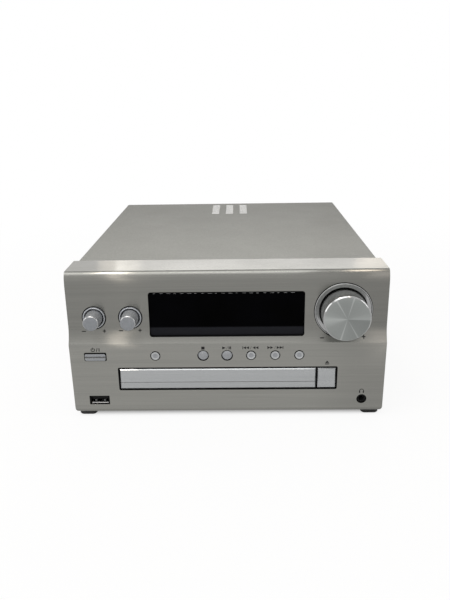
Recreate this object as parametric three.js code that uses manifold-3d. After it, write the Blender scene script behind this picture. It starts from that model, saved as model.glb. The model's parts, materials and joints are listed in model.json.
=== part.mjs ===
// A compact disc receiver: a silver front panel with three knobs, a display and a disc tray, a painted
// steel case, and inside it the disc loader, the boards and the parts that stand on them.
// Lengths are in millimetres. +X is to the right of the front panel, +Y to the rear and +Z up.
// Sizes and places are written from the panel: X 0 is its middle, Y 0 the plane of its lower face and
// Z 0 what the feet stand on. The last lines put the origin under the middle of the whole object.

import * as THREE from "three";
import { mergeVertices } from "three/addons/utils/BufferGeometryUtils.js";
import Module from "manifold-3d";

const wasm = await Module();
wasm.setup();

// Counts of sides and steps
const KNOB_SIDES = 40;
const SMALL_KNOB_SIDES = 28;
const BUTTON_SIDES = 16;
const INNER_SIDES = 24;
const SHAFT_SIDES = 12;
const DISC_SIDES = 60;
const CORNER_STEPS = 2;
const BELT_STEPS = 5;
const PANEL_CURVE_STEPS = 5;
const FULL_TURN = 2 * Math.PI;
const QUARTER_TURN = Math.PI / 2;

// Case
const PANEL_WIDTH = 211;
const CASE_TOP = 103.7;
const COVER_REAR = 243;
const FLOOR_CLEARANCE = 4.2;
const SHEET = 1;
const SEAT_GAP = 0.3;
const OVERRUN = 4;
const COVER_STEP = 2.55;
const COVER_BEND = 2;
const CHASSIS_FLANGE = 11;

// Front panel: its side outline leans out to a crease and falls back in a cove to the upper face
const PANEL_WALL = 2.5;
const STRIP_WALL = 2;
const CHEEK_WALL = 2.2;
const STRIP_DEPTH = 32;
const PANEL_LIP_DEPTH = 20;
const CREASE_HEIGHT = 54.6;
const CREASE_REACH = 1.25;
const COVE_HEIGHT = 12;
const COVE_RISE = 5;
const UPPER_FACE_RECESS = 2.5;
const TOP_EDGE_LEAN = 0.6;
const TOP_EDGE_LEAN_HEIGHT = 12;
const TOP_EDGE_RADIUS = 4.6;
const BOTTOM_EDGE_RADIUS = 1.8;
const PANEL_CORNER_RADIUS = 3;

// Display
const DISPLAY_WIDTH = 102;
const DISPLAY_HEIGHT = 30.2;
const displayRiseShare = 0.254;
const DISPLAY_CORNER_RADIUS = 1.6;
const WINDOW_RECESS = 0.4;
const WINDOW_THICKNESS = 2;
const MODULE_MARGIN = 1.2;
const MODULE_BEZEL = 1.4;
const MODULE_DEPTH = 5.6;

// How the upper face's width is shared out: a least wall beside each ring, and shares of the rest
const FACE_WALL = 0.8;
const bassGapShare = 0.2528;
const trebleGapShare = 0.2155;
const displayGapShare = 0.1146;
const volumeGapShare = 0.1602;

// Knobs and the rings round them
const VOLUME_KNOB_RADIUS = 15.4;
const VOLUME_KNOB_TAPER = 0.15;
const VOLUME_KNOB_REACH = 14;
const VOLUME_CHAMFER = 0.8;
const VOLUME_RING_RADIUS = 18.9;
const VOLUME_RING_WALL = 2.7;
const volumeRiseShare = 0.239;
const TONE_DROP = 3.6;
const TONE_KNOB_RADIUS = 5.7;
const TONE_KNOB_TAPER = 0.6;
const TONE_KNOB_REACH = 9;
const TONE_CHAMFER = 0.45;
const TONE_RING_RADIUS = 7.75;
const TONE_RING_WALL = 1.6;
const RING_PROUD = 0.9;
const RING_LAND = 0.55;
const RING_DISH = 0.9;
const RING_GAP = 0.35;
const KNOB_BORE_DEPTH = 9;
const SHAFT_FIT_GAP = 0.12;

// Rotary encoders behind the knobs
const VOLUME_SHAFT_RADIUS = 3;
const TONE_SHAFT_RADIUS = 2.2;
const ENCODER_DEPTH = 7;
const VOLUME_ENCODER_SIDE = 14;
const TONE_ENCODER_SIDE = 10;
const BUSH_WALL = 1.2;
const SHAFT_GAP = 0.3;
const SHAFT_END_GAP = 0.8;

// Push buttons
const buttonRowShare = 0.526;
const BUTTON_PITCH = 16;
const LARGE_BUTTON_RADIUS = 3.3;
const SMALL_BUTTON_RADIUS = 2.85;
const BUTTON_GAP = 0.35;
const BUTTON_PROUD = 0.9;
const BUTTON_CHAMFER = 0.35;
const BUTTON_FLANGE = 0.9;
const BUTTON_FLANGE_THICKNESS = 0.9;
const BUTTON_TRAVEL = 0.5;
const STEM_RADIUS = 1.2;
const SWITCH_SIDE = 6;
const SWITCH_HEIGHT = 2;
const POWER_INSET = 17.2;
const POWER_DROP = 0.45;
const POWER_WIDTH = 13.9;
const POWER_HEIGHT = 5;
const POWER_CORNER_RADIUS = 0.6;
const POWER_GROOVE_WIDTH = 0.9;
const POWER_GROOVE_DEPTH = 0.45;

// Disc tray opening, its door and the eject button beside it
const TRAY_OPENING_WIDTH = 146.8;
const TRAY_OPENING_BOTTOM = 21.2;
const TRAY_OPENING_HEIGHT = 16.1;
const TRAY_OPENING_RADIUS = 0.8;
const DOOR_GAP = 0.55;
const EJECT_WIDTH = 12.4;
const EJECT_GAP = 0.9;
const EJECT_STEM_OFFSET = 1.6;
const DOOR_FACE_REACH = 1.1;
const DOOR_FACE_SLOPE = 0.35;
const DOOR_CREASE_HEIGHT = 5;
const DOOR_THICKNESS = 3;
const DOOR_BEVEL = 0.5;

// Front sockets
const USB_INSET = 17.4;
const USB_Z = 13.25;
const USB_WIDTH = 12.8;
const USB_HEIGHT = 5.6;
const USB_DEPTH = 14;
const USB_SHELL = 0.4;
const USB_TONGUE = 1.8;
const USB_TONGUE_SETBACK = 1.2;
const USB_SIDE_GAP = 0.5;
const USB_MOUTH_RADIUS = 0.4;
const USB_MOUTH_SETBACK = 0.5;
const JACK_INSET = 14.5;
const JACK_Z = 13.25;
const JACK_BARREL_RADIUS = 3.1;
const JACK_BORE_RADIUS = 1.8;
const JACK_BORE_DEPTH = 13;
const JACK_BODY_WIDTH = 10;
const JACK_BODY_HEIGHT = 8.4;
const JACK_SETBACK = 0.9;

// Inner frame and board behind the panel
const FRAME_THICKNESS = 2;
const FRAME_EDGE_GAP = 0.6;
const FRAME_TOP_DROP = 10;
const FRAME_WINDOW_MARGIN = 2.6;
const FRAME_POST_RADIUS = 2.5;
const FRAME_POST_INSET = 5;
const FRAME_POST_LOW_Z = 30;
const FRAME_POST_TOP_DROP = 8.7;
const DOOR_LAP = 1.1;
const BOARD_STANDOFF = 9.6;
const BOARD_THICKNESS = 1.6;
const BOARD_EDGE_GAP = 4;
const BOARD_TRAY_GAP = 4;
const BOARD_LEG_GAP = 2;
const BOARD_FOOT_GAP = 4;

// Disc tray
const DISC_RADIUS = 60;
const SMALL_DISC_RADIUS = 40;
const DISC_CLEARANCE = 0.4;
const TRAY_RIM = 1.8;
const TRAY_FLANGE = 2;
const TRAY_FLANGE_HEIGHT = 2;
const TRAY_LIFT = 4.2;
const TRAY_FLOOR = 3.1;
const TRAY_RIM_HEIGHT = 5;
const SMALL_RECESS_DEPTH = 1;
const TRAY_FRONT_WALL = 3;
const TRAY_FRONT_RISE = 2;
const TRAY_REAR = 168;
const DISC_SETBACK = 2;
const SLOT_HALF_WIDTH = 19;

// Rack under the tray and the pinion that drives it
const GEAR_MODULE = 1;
const PINION_TEETH = 12;
const TRAVEL_PITCHES = 41;
const SPARE_PITCHES = 2;
const RACK_HEIGHT = 2.9;
const RACK_BACK = 3;
const RACK_INSET = 12.2;
const toothDepthShares = { tip: 0.9, root: 1.2 };
const rackToothShares = { tip: 0.09, root: 0.31 };
const pinionToothShares = { tip: 0.075, pitch: 0.185, root: 0.2 };

// Loader chassis
const LOADER_SETBACK = 0.7;
const LOADER_TAIL = 6;
const LOADER_FLOOR = 2;
const LOADER_WALL = 2;
const LOADER_WALL_RISE = 6.5;
const RAIL_GAP = 0.4;
const LEDGE_REACH = 3.2;
const LEDGE_THICKNESS = 1.6;
const LIP_THICKNESS = 1.5;
const FLOOR_WINDOW_SIDE_GAP = 4;
const FLOOR_WINDOW_REACH = 21.6;
const FLOOR_WINDOW_MARGIN = 14;

// Tray drive: motor, belt, pulleys and gear
const DRIVE_PULLEY_RADIUS = 10;
const MOTOR_PULLEY_RADIUS = 3.6;
const PULLEY_GROOVE = 1;
const PULLEY_HEIGHT = 2.2;
const PULLEY_LIP = 0.4;
const PULLEY_EDGE_GAP = 1;
const BELT_WIDTH = 1;
const BELT_HEIGHT = 1;
const BELT_GAP = 0.2;
const GEAR_POST_RADIUS = 1.5;
const GEAR_HUB_RADIUS = 3.4;
const MOTOR_RADIUS = 10;
const MOTOR_SPACING = 34;
const MOTOR_SHAFT_RADIUS = 1;
const MOTOR_BORE_DEPTH = 6;

// Traverse: the deck with the spindle motor, the turntable, the pickup sled and its rods
const DISC_PLAY_LIFT = 1.4;
const DECK_DROP = 6.4;
const DECK_THICKNESS = 1.6;
const DECK_HALF_WIDTH = 36;
const DECK_FRONT_REACH = 18;
const DECK_TAIL = 6.3;
const DECK_ARM_HALF_LENGTH = 4;
const DECK_ARM_GAP = 0.8;
const PIVOT_RADIUS = 1.8;
const PIVOT_END_GAP = 0.4;
const SPINDLE_MOTOR_RADIUS = 13;
const SPINDLE_MOTOR_HEIGHT = 5;
const SPINDLE_RADIUS = 1;
const SPINDLE_BOSS_RADIUS = 4;
const SPINDLE_BOSS_HEIGHT = 1;
const TURNTABLE_RADIUS = 14;
const TURNTABLE_THICKNESS = 2.4;
const TURNTABLE_HUB_RADIUS = 5;
const TURNTABLE_CONE_RADIUS = 7.3;
const TURNTABLE_CONE_HEIGHT = 2;
const SLED_INNER_REACH = 24;
const SLED_HALF_WIDTH = 15;
const SLED_FRONT = 6.5;
const SLED_LENGTH = 20;
const SLED_BOTTOM_DROP = 3.4;
const SLED_HEIGHT = 7.6;
const LENS_RADIUS = 3.4;
const LENS_HEIGHT = 4;
const SLED_WINDOW_GAP = 1.6;
const SLED_TRAVEL = 34;
const SLED_BEARING_LENGTH = 9;
const ROD_RADIUS = 1.5;
const ROD_X = 21.5;
const ROD_HOLDER = 5;
const ROD_HOLDER_SIDE = 6.4;
const BEARING_WALL = 1.3;
const SCREW_GROOVE_DEPTH = 0.35;
const SCREW_GROOVES = 5;

// Clamp over the disc
const BRIDGE_HALF_LENGTH = 17;
const BRIDGE_THICKNESS = 1.4;
const BRIDGE_FLANGE_HEIGHT = 4;
const CLAMPER_RADIUS = 14;
const CLAMPER_NECK_RADIUS = 7.4;
const CLAMPER_NECK_GAP = 0.6;
const CLAMPER_TOP_RADIUS = 11;
const CLAMPER_TOP_THICKNESS = 1.2;
const CLAMPER_PAD_THICKNESS = 2.4;
const DISC_THICKNESS = 1.2;
const CLAMPER_HOLLOW_RADIUS = 8.5;
const CLAMPER_HOLLOW_DEPTH = 1.4;

// Main board, its stand and what it carries
const MAIN_BOARD_GAP = 6;
const MAIN_BOARD_REAR_GAP = 4;
const MAIN_BOARD_SIDE_GAP = 5;
const STANDOFF_RADIUS = 3;
const STANDOFF_HEIGHT = 7.7;
const STANDOFF_INSET = 6;
const CAPACITOR_RADIUS = 9;
const CAPACITOR_HEIGHT = 25;
const capacitorGapShare = 0.2394;
const CAPACITOR_PITCH = 21;
const CAPACITOR_SETBACK = 13;
const transformerGapShare = 0.2698;
const TRANSFORMER_WIDTH = 40;
const TRANSFORMER_DEPTH = 32;
const TRANSFORMER_HEIGHT = 34;
const TRANSFORMER_YOKE = 6;
const TRANSFORMER_COIL_INSET = 4;
const HEATSINK_WIDTH = 60;
const heatsinkGapShare = 0.221;
const HEATSINK_DEPTH = 24;
const HEATSINK_HEIGHT = 46;
const HEATSINK_BASE = 4;
const HEATSINK_FINS = 9;
const HEATSINK_FIN = 1.6;
const COMPONENT_SETBACK = 4;

// Rear panel and the sockets through it
const REAR_SHEET = 1;
const REAR_EDGE_GAP = 0.3;
const SOCKET_HOLE_GAP = 0.4;
const SOCKET_FOOT_DEPTH = 13;
const INLET_INSET = 39.95;
const INLET_Z = 27;
const INLET_WIDTH = 22;
const INLET_HEIGHT = 15;
const INLET_WALL = 2.4;
const INLET_DEPTH = 17;
const INLET_CAVITY_DEPTH = 13;
const INLET_PROUD = 1.6;
const INLET_PIN_RADIUS = 1.2;
const INLET_PIN_SPACING = 9.6;
const INLET_PIN_SETBACK = 4;
const INLET_CORNER_RADIUS = 4;
const socketsPlaceShare = 0.322;
const AUX_PITCH = 17;
const AERIAL_PITCH = 21;
const SOCKET_Z = 25;
const AUX_RADIUS = 4.1;
const AUX_BORE = 1.7;
const AERIAL_RADIUS = 4.8;
const AERIAL_BORE = 2.4;
const SOCKET_REACH = 7;
const SOCKET_BODY_HEIGHT = 14;
const SOCKET_BODY_MARGIN = 3;
const TERMINAL_INSET = 33.95;
const TERMINAL_Z = 38;
const TERMINAL_PITCH_X = 22;
const TERMINAL_PITCH_Z = 17;
const TERMINAL_PLATE_WIDTH = 44;
const TERMINAL_PLATE_HEIGHT = 36;
const TERMINAL_PLATE = 2;
const TERMINAL_BODY_MARGIN = 4;
const TERMINAL_BODY_DEPTH = 8;
const TERMINAL_POST_RADIUS = 2;
const TERMINAL_CAP_RADIUS = 5;
const TERMINAL_CAP_LENGTH = 7.4;
const TERMINAL_CAP_WALL = 1.2;
const TERMINAL_FLUTES = 10;
const TERMINAL_FLUTE_SIDES = 4;
const TERMINAL_FLUTE_RADIUS = 0.8;

// Air slots in the top cover: three columns of short cross slots
const SLOT_COLUMN_PITCH = 12.9;
const SLOT_COLUMNS = 3;
const SLOT_ROWS = 8;
const SLOT_WIDTH = 6.8;
const SLOT_LENGTH = 2.6;
const SLOT_PITCH = 5.4;
const SLOT_REAR_MARGIN = 9.5;

// Feet
const FOOT_WIDTH = 12;
const FOOT_LENGTH = 15;
const FOOT_CORNER_RADIUS = 3;
const FOOT_SIDE_INSET = 1.5;
const FOOT_REAR_SIDE_INSET = 6;
const FOOT_FRONT_INSET = 3.6;
const FOOT_REAR_INSET = 12;
const FOOT_CHAMFER = 0.8;

// Finishes, one for each kind of material
const finishes = {
  brushedAluminium: { color: 0x8f8f89, roughness: 0.38, metalness: 0.9 },
  silverButton: { color: 0xa9acae, roughness: 0.32, metalness: 0.7 },
  spunAluminium: { color: 0xb2b3b0, roughness: 0.25, metalness: 0.95 },
  chrome: { color: 0xd8d8d8, roughness: 0.1, metalness: 1 },
  paintedSteel: { color: 0x8d8d88, roughness: 0.55, metalness: 0.4 },
  zincSteel: { color: 0x9a9c9c, roughness: 0.4, metalness: 0.9 },
  blackGloss: { color: 0x08080a, roughness: 0.08, metalness: 0 },
  blackPlastic: { color: 0x17171a, roughness: 0.6, metalness: 0 },
  greyPlastic: { color: 0x3b3c3e, roughness: 0.6, metalness: 0 },
  whitePlastic: { color: 0xd9d8d0, roughness: 0.5, metalness: 0 },
  redPlastic: { color: 0xa01815, roughness: 0.4, metalness: 0 },
  rubber: { color: 0x1a1a1a, roughness: 0.9, metalness: 0 },
  board: { color: 0x1f5a34, roughness: 0.5, metalness: 0 },
  steel: { color: 0xb5b6b8, roughness: 0.3, metalness: 1 },
  darkSteel: { color: 0x4b4c4e, roughness: 0.5, metalness: 0.8 },
  lens: { color: 0x1a2238, roughness: 0.05, metalness: 0 },
};

// A closed geometry as a solid that can be joined and cut
function solid(geometry) {
  const bare = geometry.clone();
  bare.deleteAttribute("normal");
  bare.deleteAttribute("uv");
  const merged = mergeVertices(bare);
  return new wasm.Manifold(
    new wasm.Mesh({
      numProp: 3,
      vertProperties: merged.attributes.position.array,
      triVerts: new Uint32Array(merged.index.array),
    }),
  );
}

// A solid back as a geometry with flat faces
function geometryOf(made) {
  const mesh = made.getMesh();
  const geometry = new THREE.BufferGeometry();
  geometry.setAttribute("position", new THREE.BufferAttribute(mesh.vertProperties, mesh.numProp));
  geometry.setIndex(new THREE.BufferAttribute(mesh.triVerts, 1));
  const faceted = geometry.toNonIndexed();
  faceted.computeVertexNormals();
  return faceted;
}

// A named mesh on its parent, with its own material
function add(parent, name, made, finish, place = [0, 0, 0]) {
  const mesh = new THREE.Mesh(geometryOf(made), new THREE.MeshStandardMaterial(finishes[finish]));
  mesh.name = name;
  mesh.position.set(...place);
  parent.add(mesh);
}

function join(first, ...others) {
  return others.reduce((whole, piece) => whole.add(piece), first);
}

function cut(first, ...others) {
  return others.reduce((whole, piece) => whole.subtract(piece), first);
}

function block(xs, ys, zs) {
  const spans = [xs, ys, zs];
  const geometry = new THREE.BoxGeometry(...spans.map(([low, high]) => high - low));
  geometry.translate(...spans.map(([low, high]) => (low + high) / 2));
  return solid(geometry);
}

// A round bar along one axis, at a place given by its other two coordinates
function rod(axis, radius, [from, to], [first, second], sides = SHAFT_SIDES) {
  const geometry = new THREE.CylinderGeometry(radius, radius, to - from, sides);
  const middle = (from + to) / 2;
  if (axis === "x") geometry.rotateZ(QUARTER_TURN).translate(middle, first, second);
  if (axis === "y") geometry.translate(first, middle, second);
  if (axis === "z") geometry.rotateX(QUARTER_TURN).translate(first, second, middle);
  return solid(geometry);
}

// A turned piece about its own Y axis: the outline runs from the low end of Y to the high end
function turned(outline, sides) {
  return solid(new THREE.LatheGeometry(outline.map((point) => new THREE.Vector2(...point)), sides));
}

// The same about its own Z axis
function turnedUpright(outline, sides) {
  const points = outline.map((point) => new THREE.Vector2(...point));
  return solid(new THREE.LatheGeometry(points, sides).rotateX(QUARTER_TURN));
}

function roundedRectangle([left, right], [bottom, top], radius) {
  const shape = new THREE.Shape();
  shape.moveTo(left + radius, bottom);
  shape.absarc(right - radius, bottom + radius, radius, -QUARTER_TURN, 0);
  shape.absarc(right - radius, top - radius, radius, 0, QUARTER_TURN);
  shape.absarc(left + radius, top - radius, radius, QUARTER_TURN, 2 * QUARTER_TURN);
  shape.absarc(left + radius, bottom + radius, radius, 2 * QUARTER_TURN, 3 * QUARTER_TURN);
  return shape;
}

function polygon(points) {
  return new THREE.Shape(points.map((point) => new THREE.Vector2(...point)));
}

function extrude(shape, depth, steps) {
  return new THREE.ExtrudeGeometry(shape, { depth, bevelEnabled: false, curveSegments: steps });
}

// An outline seen from the front, X across and Z up, carried from front to rear
function extrudedBack(shape, [front, rear], steps = CORNER_STEPS) {
  const geometry = extrude(shape, rear - front, steps);
  return solid(geometry.rotateX(QUARTER_TURN).translate(0, rear, 0));
}

// An outline seen from the right, Y across and Z up, carried from left to right
function extrudedAcross(shape, [left, right], steps = CORNER_STEPS) {
  const axes = [new THREE.Vector3(0, 1, 0), new THREE.Vector3(0, 0, 1), new THREE.Vector3(1, 0, 0)];
  const geometry = extrude(shape, right - left, steps);
  geometry.applyMatrix4(new THREE.Matrix4().makeBasis(...axes));
  return solid(geometry.translate(left, 0, 0));
}

// An outline seen from above, X across and Y up, carried upwards
function extrudedUp(shape, [bottom, top], steps = CORNER_STEPS) {
  return solid(extrude(shape, top - bottom, steps).translate(0, 0, bottom));
}

function around(centre, size) {
  return [centre - size / 2, centre + size / 2];
}

// A span with the same length added at both ends
function widened([low, high], by) {
  return [low - by, high + by];
}

// A span long enough for a cut to run clean through
function past(span) {
  return widened(span, OVERRUN);
}

// Places that follow from the sizes: the case's walls
const panelHalf = PANEL_WIDTH / 2;
const cheekInner = panelHalf - CHEEK_WALL;
const coverHalf = panelHalf - COVER_STEP;
const coverInner = coverHalf - SHEET;
const chassisHalf = coverInner - SEAT_GAP;
const panelBottom = FLOOR_CLEARANCE;
const chassisFloorTop = panelBottom + SHEET;
const chassisFront = PANEL_LIP_DEPTH + SEAT_GAP;
const frameFront = UPPER_FACE_RECESS + PANEL_WALL + SEAT_GAP;
const frameRear = frameFront + FRAME_THICKNESS;
const boardFront = frameFront + BOARD_STANDOFF;
const boardRear = boardFront + BOARD_THICKNESS;

// The tray opening with its door and the eject button, and the disc tray
const openingHalf = TRAY_OPENING_WIDTH / 2;
const openingTop = TRAY_OPENING_BOTTOM + TRAY_OPENING_HEIGHT;
const doorSpanZ = [TRAY_OPENING_BOTTOM + DOOR_GAP, openingTop - DOOR_GAP];
const ejectRight = openingHalf - DOOR_GAP;
const ejectLeft = ejectRight - EJECT_WIDTH;
const doorSpanX = [-openingHalf + DOOR_GAP, ejectLeft - EJECT_GAP];
const trayX = (doorSpanX[0] + doorSpanX[1]) / 2;
const doorRear = DOOR_THICKNESS - DOOR_FACE_REACH;
const trayFront = doorRear + SEAT_GAP;
const recessRadius = DISC_RADIUS + DISC_CLEARANCE;
const trayBodyHalf = recessRadius + TRAY_RIM;
const trayFlangeHalf = trayBodyHalf + TRAY_FLANGE;
const trayUnderside = TRAY_OPENING_BOTTOM + TRAY_LIFT;
const trayFloorTop = trayUnderside + TRAY_FLOOR;
const trayTop = trayFloorTop + TRAY_RIM_HEIGHT;
const discY = trayFront + TRAY_FRONT_WALL + DISC_SETBACK + recessRadius;
const discPlane = trayFloorTop + DISC_PLAY_LIFT;

// The button row lies between the opening and the crease, and the other small controls near the sides
const buttonRowZ = openingTop + buttonRowShare * (CREASE_HEIGHT - openingTop);
const powerX = -panelHalf + POWER_INSET;
const powerZ = buttonRowZ - POWER_DROP;
const usbX = -panelHalf + USB_INSET;
const jackX = panelHalf - JACK_INSET;

// The upper face's spare width is shared out beside the bass, treble, display and volume, from the left
const faceHeight = CASE_TOP - CREASE_HEIGHT;
const faceParts = 4 * TONE_RING_RADIUS + DISPLAY_WIDTH + 2 * VOLUME_RING_RADIUS;
const faceSpare = PANEL_WIDTH - faceParts - 5 * FACE_WALL;
const bassX = -panelHalf + FACE_WALL + bassGapShare * faceSpare + TONE_RING_RADIUS;
const trebleX = bassX + 2 * TONE_RING_RADIUS + FACE_WALL + trebleGapShare * faceSpare;
const displayLeft = trebleX + TONE_RING_RADIUS + FACE_WALL + displayGapShare * faceSpare;
const displaySpanX = [displayLeft, displayLeft + DISPLAY_WIDTH];
const volumeX = displaySpanX[1] + FACE_WALL + volumeGapShare * faceSpare + VOLUME_RING_RADIUS;
const volumeRise = volumeRiseShare * (faceHeight - 2 * VOLUME_RING_RADIUS);
const volumeZ = CREASE_HEIGHT + volumeRise + VOLUME_RING_RADIUS;
const toneZ = volumeZ - TONE_DROP;
const displayBottom = CREASE_HEIGHT + displayRiseShare * (faceHeight - DISPLAY_HEIGHT);
const displaySpanZ = [displayBottom, displayBottom + DISPLAY_HEIGHT];

// The tray's drive
const rackLineX = trayBodyHalf - RACK_INSET;
const toothPitch = Math.PI * GEAR_MODULE;
const pinionRadius = (GEAR_MODULE * PINION_TEETH) / 2;
const loaderFront = chassisFront + LOADER_SETBACK;
const pinionX = rackLineX - pinionRadius;
const pinionY = loaderFront + DRIVE_PULLEY_RADIUS + PULLEY_LIP + PULLEY_EDGE_GAP;
const motorX = pinionX - MOTOR_SPACING;
const rackBottom = trayUnderside - RACK_HEIGHT;
const pinionTop = trayUnderside - SEAT_GAP;
const pulleyTop = rackBottom - SEAT_GAP;
const pulleyBottom = pulleyTop - PULLEY_HEIGHT;

// Where the sled runs and the rods lie
const deckTop = trayUnderside - DECK_DROP;
const deckBottom = deckTop - DECK_THICKNESS;
const rodZ = deckTop;
const rodBore = ROD_RADIUS + SHAFT_GAP;
const sledLensY = discY + SLED_INNER_REACH;
const sledRear = SLED_LENGTH - SLED_FRONT;
const sledWindowY = [
  sledLensY - SLED_FRONT - SLED_WINDOW_GAP,
  sledLensY + sledRear + SLED_TRAVEL + SLED_WINDOW_GAP,
];
const sledWindowHalf = ROD_X + rodBore + BEARING_WALL + SLED_WINDOW_GAP;
const rodHolderYs = [
  [sledWindowY[0] - ROD_HOLDER, sledWindowY[0] + SEAT_GAP],
  [sledWindowY[1] - SEAT_GAP, sledWindowY[1] + ROD_HOLDER],
];
const rodSpan = [rodHolderYs[0][0], rodHolderYs[1][1]];
const rodPlaces = [{ x: -ROD_X }, { x: ROD_X }];
const deckPivotY = rodSpan[1] + DECK_TAIL;

// The loader's channel, and the case behind it
const loaderRear = TRAY_REAR + LOADER_TAIL;
const loaderBase = chassisFloorTop + SEAT_GAP;
const loaderFloorTop = loaderBase + LOADER_FLOOR;
const loaderWallInner = trayFlangeHalf + RAIL_GAP;
const loaderWallOuter = loaderWallInner + LOADER_WALL;
const loaderWallTop = trayTop + LOADER_WALL_RISE;
const floorWindowHalf = DECK_HALF_WIDTH + FLOOR_WINDOW_SIDE_GAP;
const floorWindowFront = discY - FLOOR_WINDOW_REACH;
const bridgeBottom = loaderWallTop + SEAT_GAP;
const bridgeTop = bridgeBottom + BRIDGE_THICKNESS;
const mainBoardFront = loaderRear + MAIN_BOARD_GAP;
const rearPanelFront = COVER_REAR - REAR_SHEET;
const chassisRear = rearPanelFront - SEAT_GAP;
const mainBoardRear = chassisRear - MAIN_BOARD_REAR_GAP;
const mainBoardBottom = chassisFloorTop + STANDOFF_HEIGHT + SEAT_GAP;
const mainBoardTop = mainBoardBottom + BOARD_THICKNESS;
const mainBoardHalf = chassisHalf - MAIN_BOARD_SIDE_GAP;
const componentBase = mainBoardTop + SEAT_GAP;

// The main board's spare width is shared out beside the transformer, the capacitors and the heat sink
const boardParts = TRANSFORMER_WIDTH + CAPACITOR_PITCH + 2 * CAPACITOR_RADIUS + HEATSINK_WIDTH;
const boardSpare = 2 * mainBoardHalf - boardParts;
const transformerLeft = -mainBoardHalf + transformerGapShare * boardSpare;
const transformerX = transformerLeft + TRANSFORMER_WIDTH / 2;
const capacitorLeft = transformerLeft + TRANSFORMER_WIDTH + capacitorGapShare * boardSpare;
const capacitorX = capacitorLeft + CAPACITOR_RADIUS;
const capacitorRight = capacitorX + CAPACITOR_PITCH + CAPACITOR_RADIUS;
const heatsinkLeft = capacitorRight + heatsinkGapShare * boardSpare;
const heatsinkRight = heatsinkLeft + HEATSINK_WIDTH;

// The sockets share the room between the inlet and the speaker terminals
const inletX = -coverInner + INLET_INSET;
const terminalX = coverInner - TERMINAL_INSET;
const socketsWidth = AERIAL_RADIUS + AERIAL_PITCH + AUX_PITCH + AUX_RADIUS + 2 * SOCKET_BODY_MARGIN;
const socketsRoom = [inletX + INLET_WIDTH / 2, terminalX - TERMINAL_PLATE_WIDTH / 2];
const socketsSpare = socketsRoom[1] - socketsRoom[0] - socketsWidth;
const socketsLeft = socketsRoom[0] + socketsPlaceShare * socketsSpare;
const aerialX = socketsLeft + SOCKET_BODY_MARGIN + AERIAL_RADIUS;
const socketXs = [aerialX + AERIAL_PITCH, aerialX + AERIAL_PITCH + AUX_PITCH, aerialX];
const socketRadii = [AUX_RADIUS, AUX_RADIUS, AERIAL_RADIUS];
const socketBores = [AUX_BORE, AUX_BORE, AERIAL_BORE];

// How far the panel's face lies behind Y 0 at a height on its lower half
function lowerFaceAt(height) {
  const rise = (height - panelBottom) / (CREASE_HEIGHT - panelBottom);
  return -CREASE_REACH * rise;
}

const knobRear = frameFront - 2 * SEAT_GAP;
const buttonFace = lowerFaceAt(buttonRowZ) - BUTTON_PROUD;
const flangeFront = lowerFaceAt(buttonRowZ) + PANEL_WALL + SEAT_GAP;
const flangeRear = flangeFront + BUTTON_FLANGE_THICKNESS;
const stemRear = boardFront - SWITCH_HEIGHT - BUTTON_TRAVEL - SEAT_GAP;

// The round buttons under the display: a name, steps of the pitch from the middle, and a radius
const roundButtons = [
  { name: "favourite_button", step: -3, radius: SMALL_BUTTON_RADIUS },
  { name: "stop_button", step: -1, radius: LARGE_BUTTON_RADIUS },
  { name: "play_pause_button", step: 0, radius: LARGE_BUTTON_RADIUS },
  { name: "skip_back_button", step: 1, radius: SMALL_BUTTON_RADIUS },
  { name: "skip_forward_button", step: 2, radius: SMALL_BUTTON_RADIUS },
  { name: "selector_button", step: 3, radius: SMALL_BUTTON_RADIUS },
];

// The three knobs with their rings and encoders
const volumeControl = {
  x: volumeX,
  z: volumeZ,
  knobRadius: VOLUME_KNOB_RADIUS,
  taper: VOLUME_KNOB_TAPER,
  reach: VOLUME_KNOB_REACH,
  chamfer: VOLUME_CHAMFER,
  ringRadius: VOLUME_RING_RADIUS,
  ringWall: VOLUME_RING_WALL,
  shaftRadius: VOLUME_SHAFT_RADIUS,
  encoderSide: VOLUME_ENCODER_SIDE,
  sides: KNOB_SIDES,
};
const toneControl = {
  z: toneZ,
  knobRadius: TONE_KNOB_RADIUS,
  taper: TONE_KNOB_TAPER,
  reach: TONE_KNOB_REACH,
  chamfer: TONE_CHAMFER,
  ringRadius: TONE_RING_RADIUS,
  ringWall: TONE_RING_WALL,
  shaftRadius: TONE_SHAFT_RADIUS,
  encoderSide: TONE_ENCODER_SIDE,
  sides: SMALL_KNOB_SIDES,
};
const controls = {
  volume: volumeControl,
  bass: { ...toneControl, x: bassX },
  treble: { ...toneControl, x: trebleX },
};

// Where the push buttons' stems reach the board
const ejectStem = {
  x: (ejectLeft + ejectRight) / 2,
  z: (doorSpanZ[0] + doorSpanZ[1]) / 2 + EJECT_STEM_OFFSET,
};
const stems = [
  ...roundButtons.map(({ step }) => ({ x: step * BUTTON_PITCH, z: buttonRowZ })),
  { x: powerX, z: powerZ },
  ejectStem,
];

// The panel's front line, set back by a wall thickness
function drawPanelFront(shape, inset, strip) {
  const face = UPPER_FACE_RECESS + inset;
  const crease = inset - CREASE_REACH;
  const coveTop = CREASE_HEIGHT + COVE_HEIGHT;
  const topLean = face + TOP_EDGE_LEAN;
  const arcBottom = CASE_TOP - TOP_EDGE_RADIUS;
  shape.lineTo(crease, CREASE_HEIGHT);
  shape.quadraticCurveTo(face, CREASE_HEIGHT + COVE_RISE, face, coveTop);
  shape.lineTo(face, CASE_TOP - TOP_EDGE_LEAN_HEIGHT);
  shape.lineTo(topLean, arcBottom - strip);
  shape.quadraticCurveTo(topLean, CASE_TOP - strip, topLean + TOP_EDGE_RADIUS, CASE_TOP - strip);
}

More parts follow.
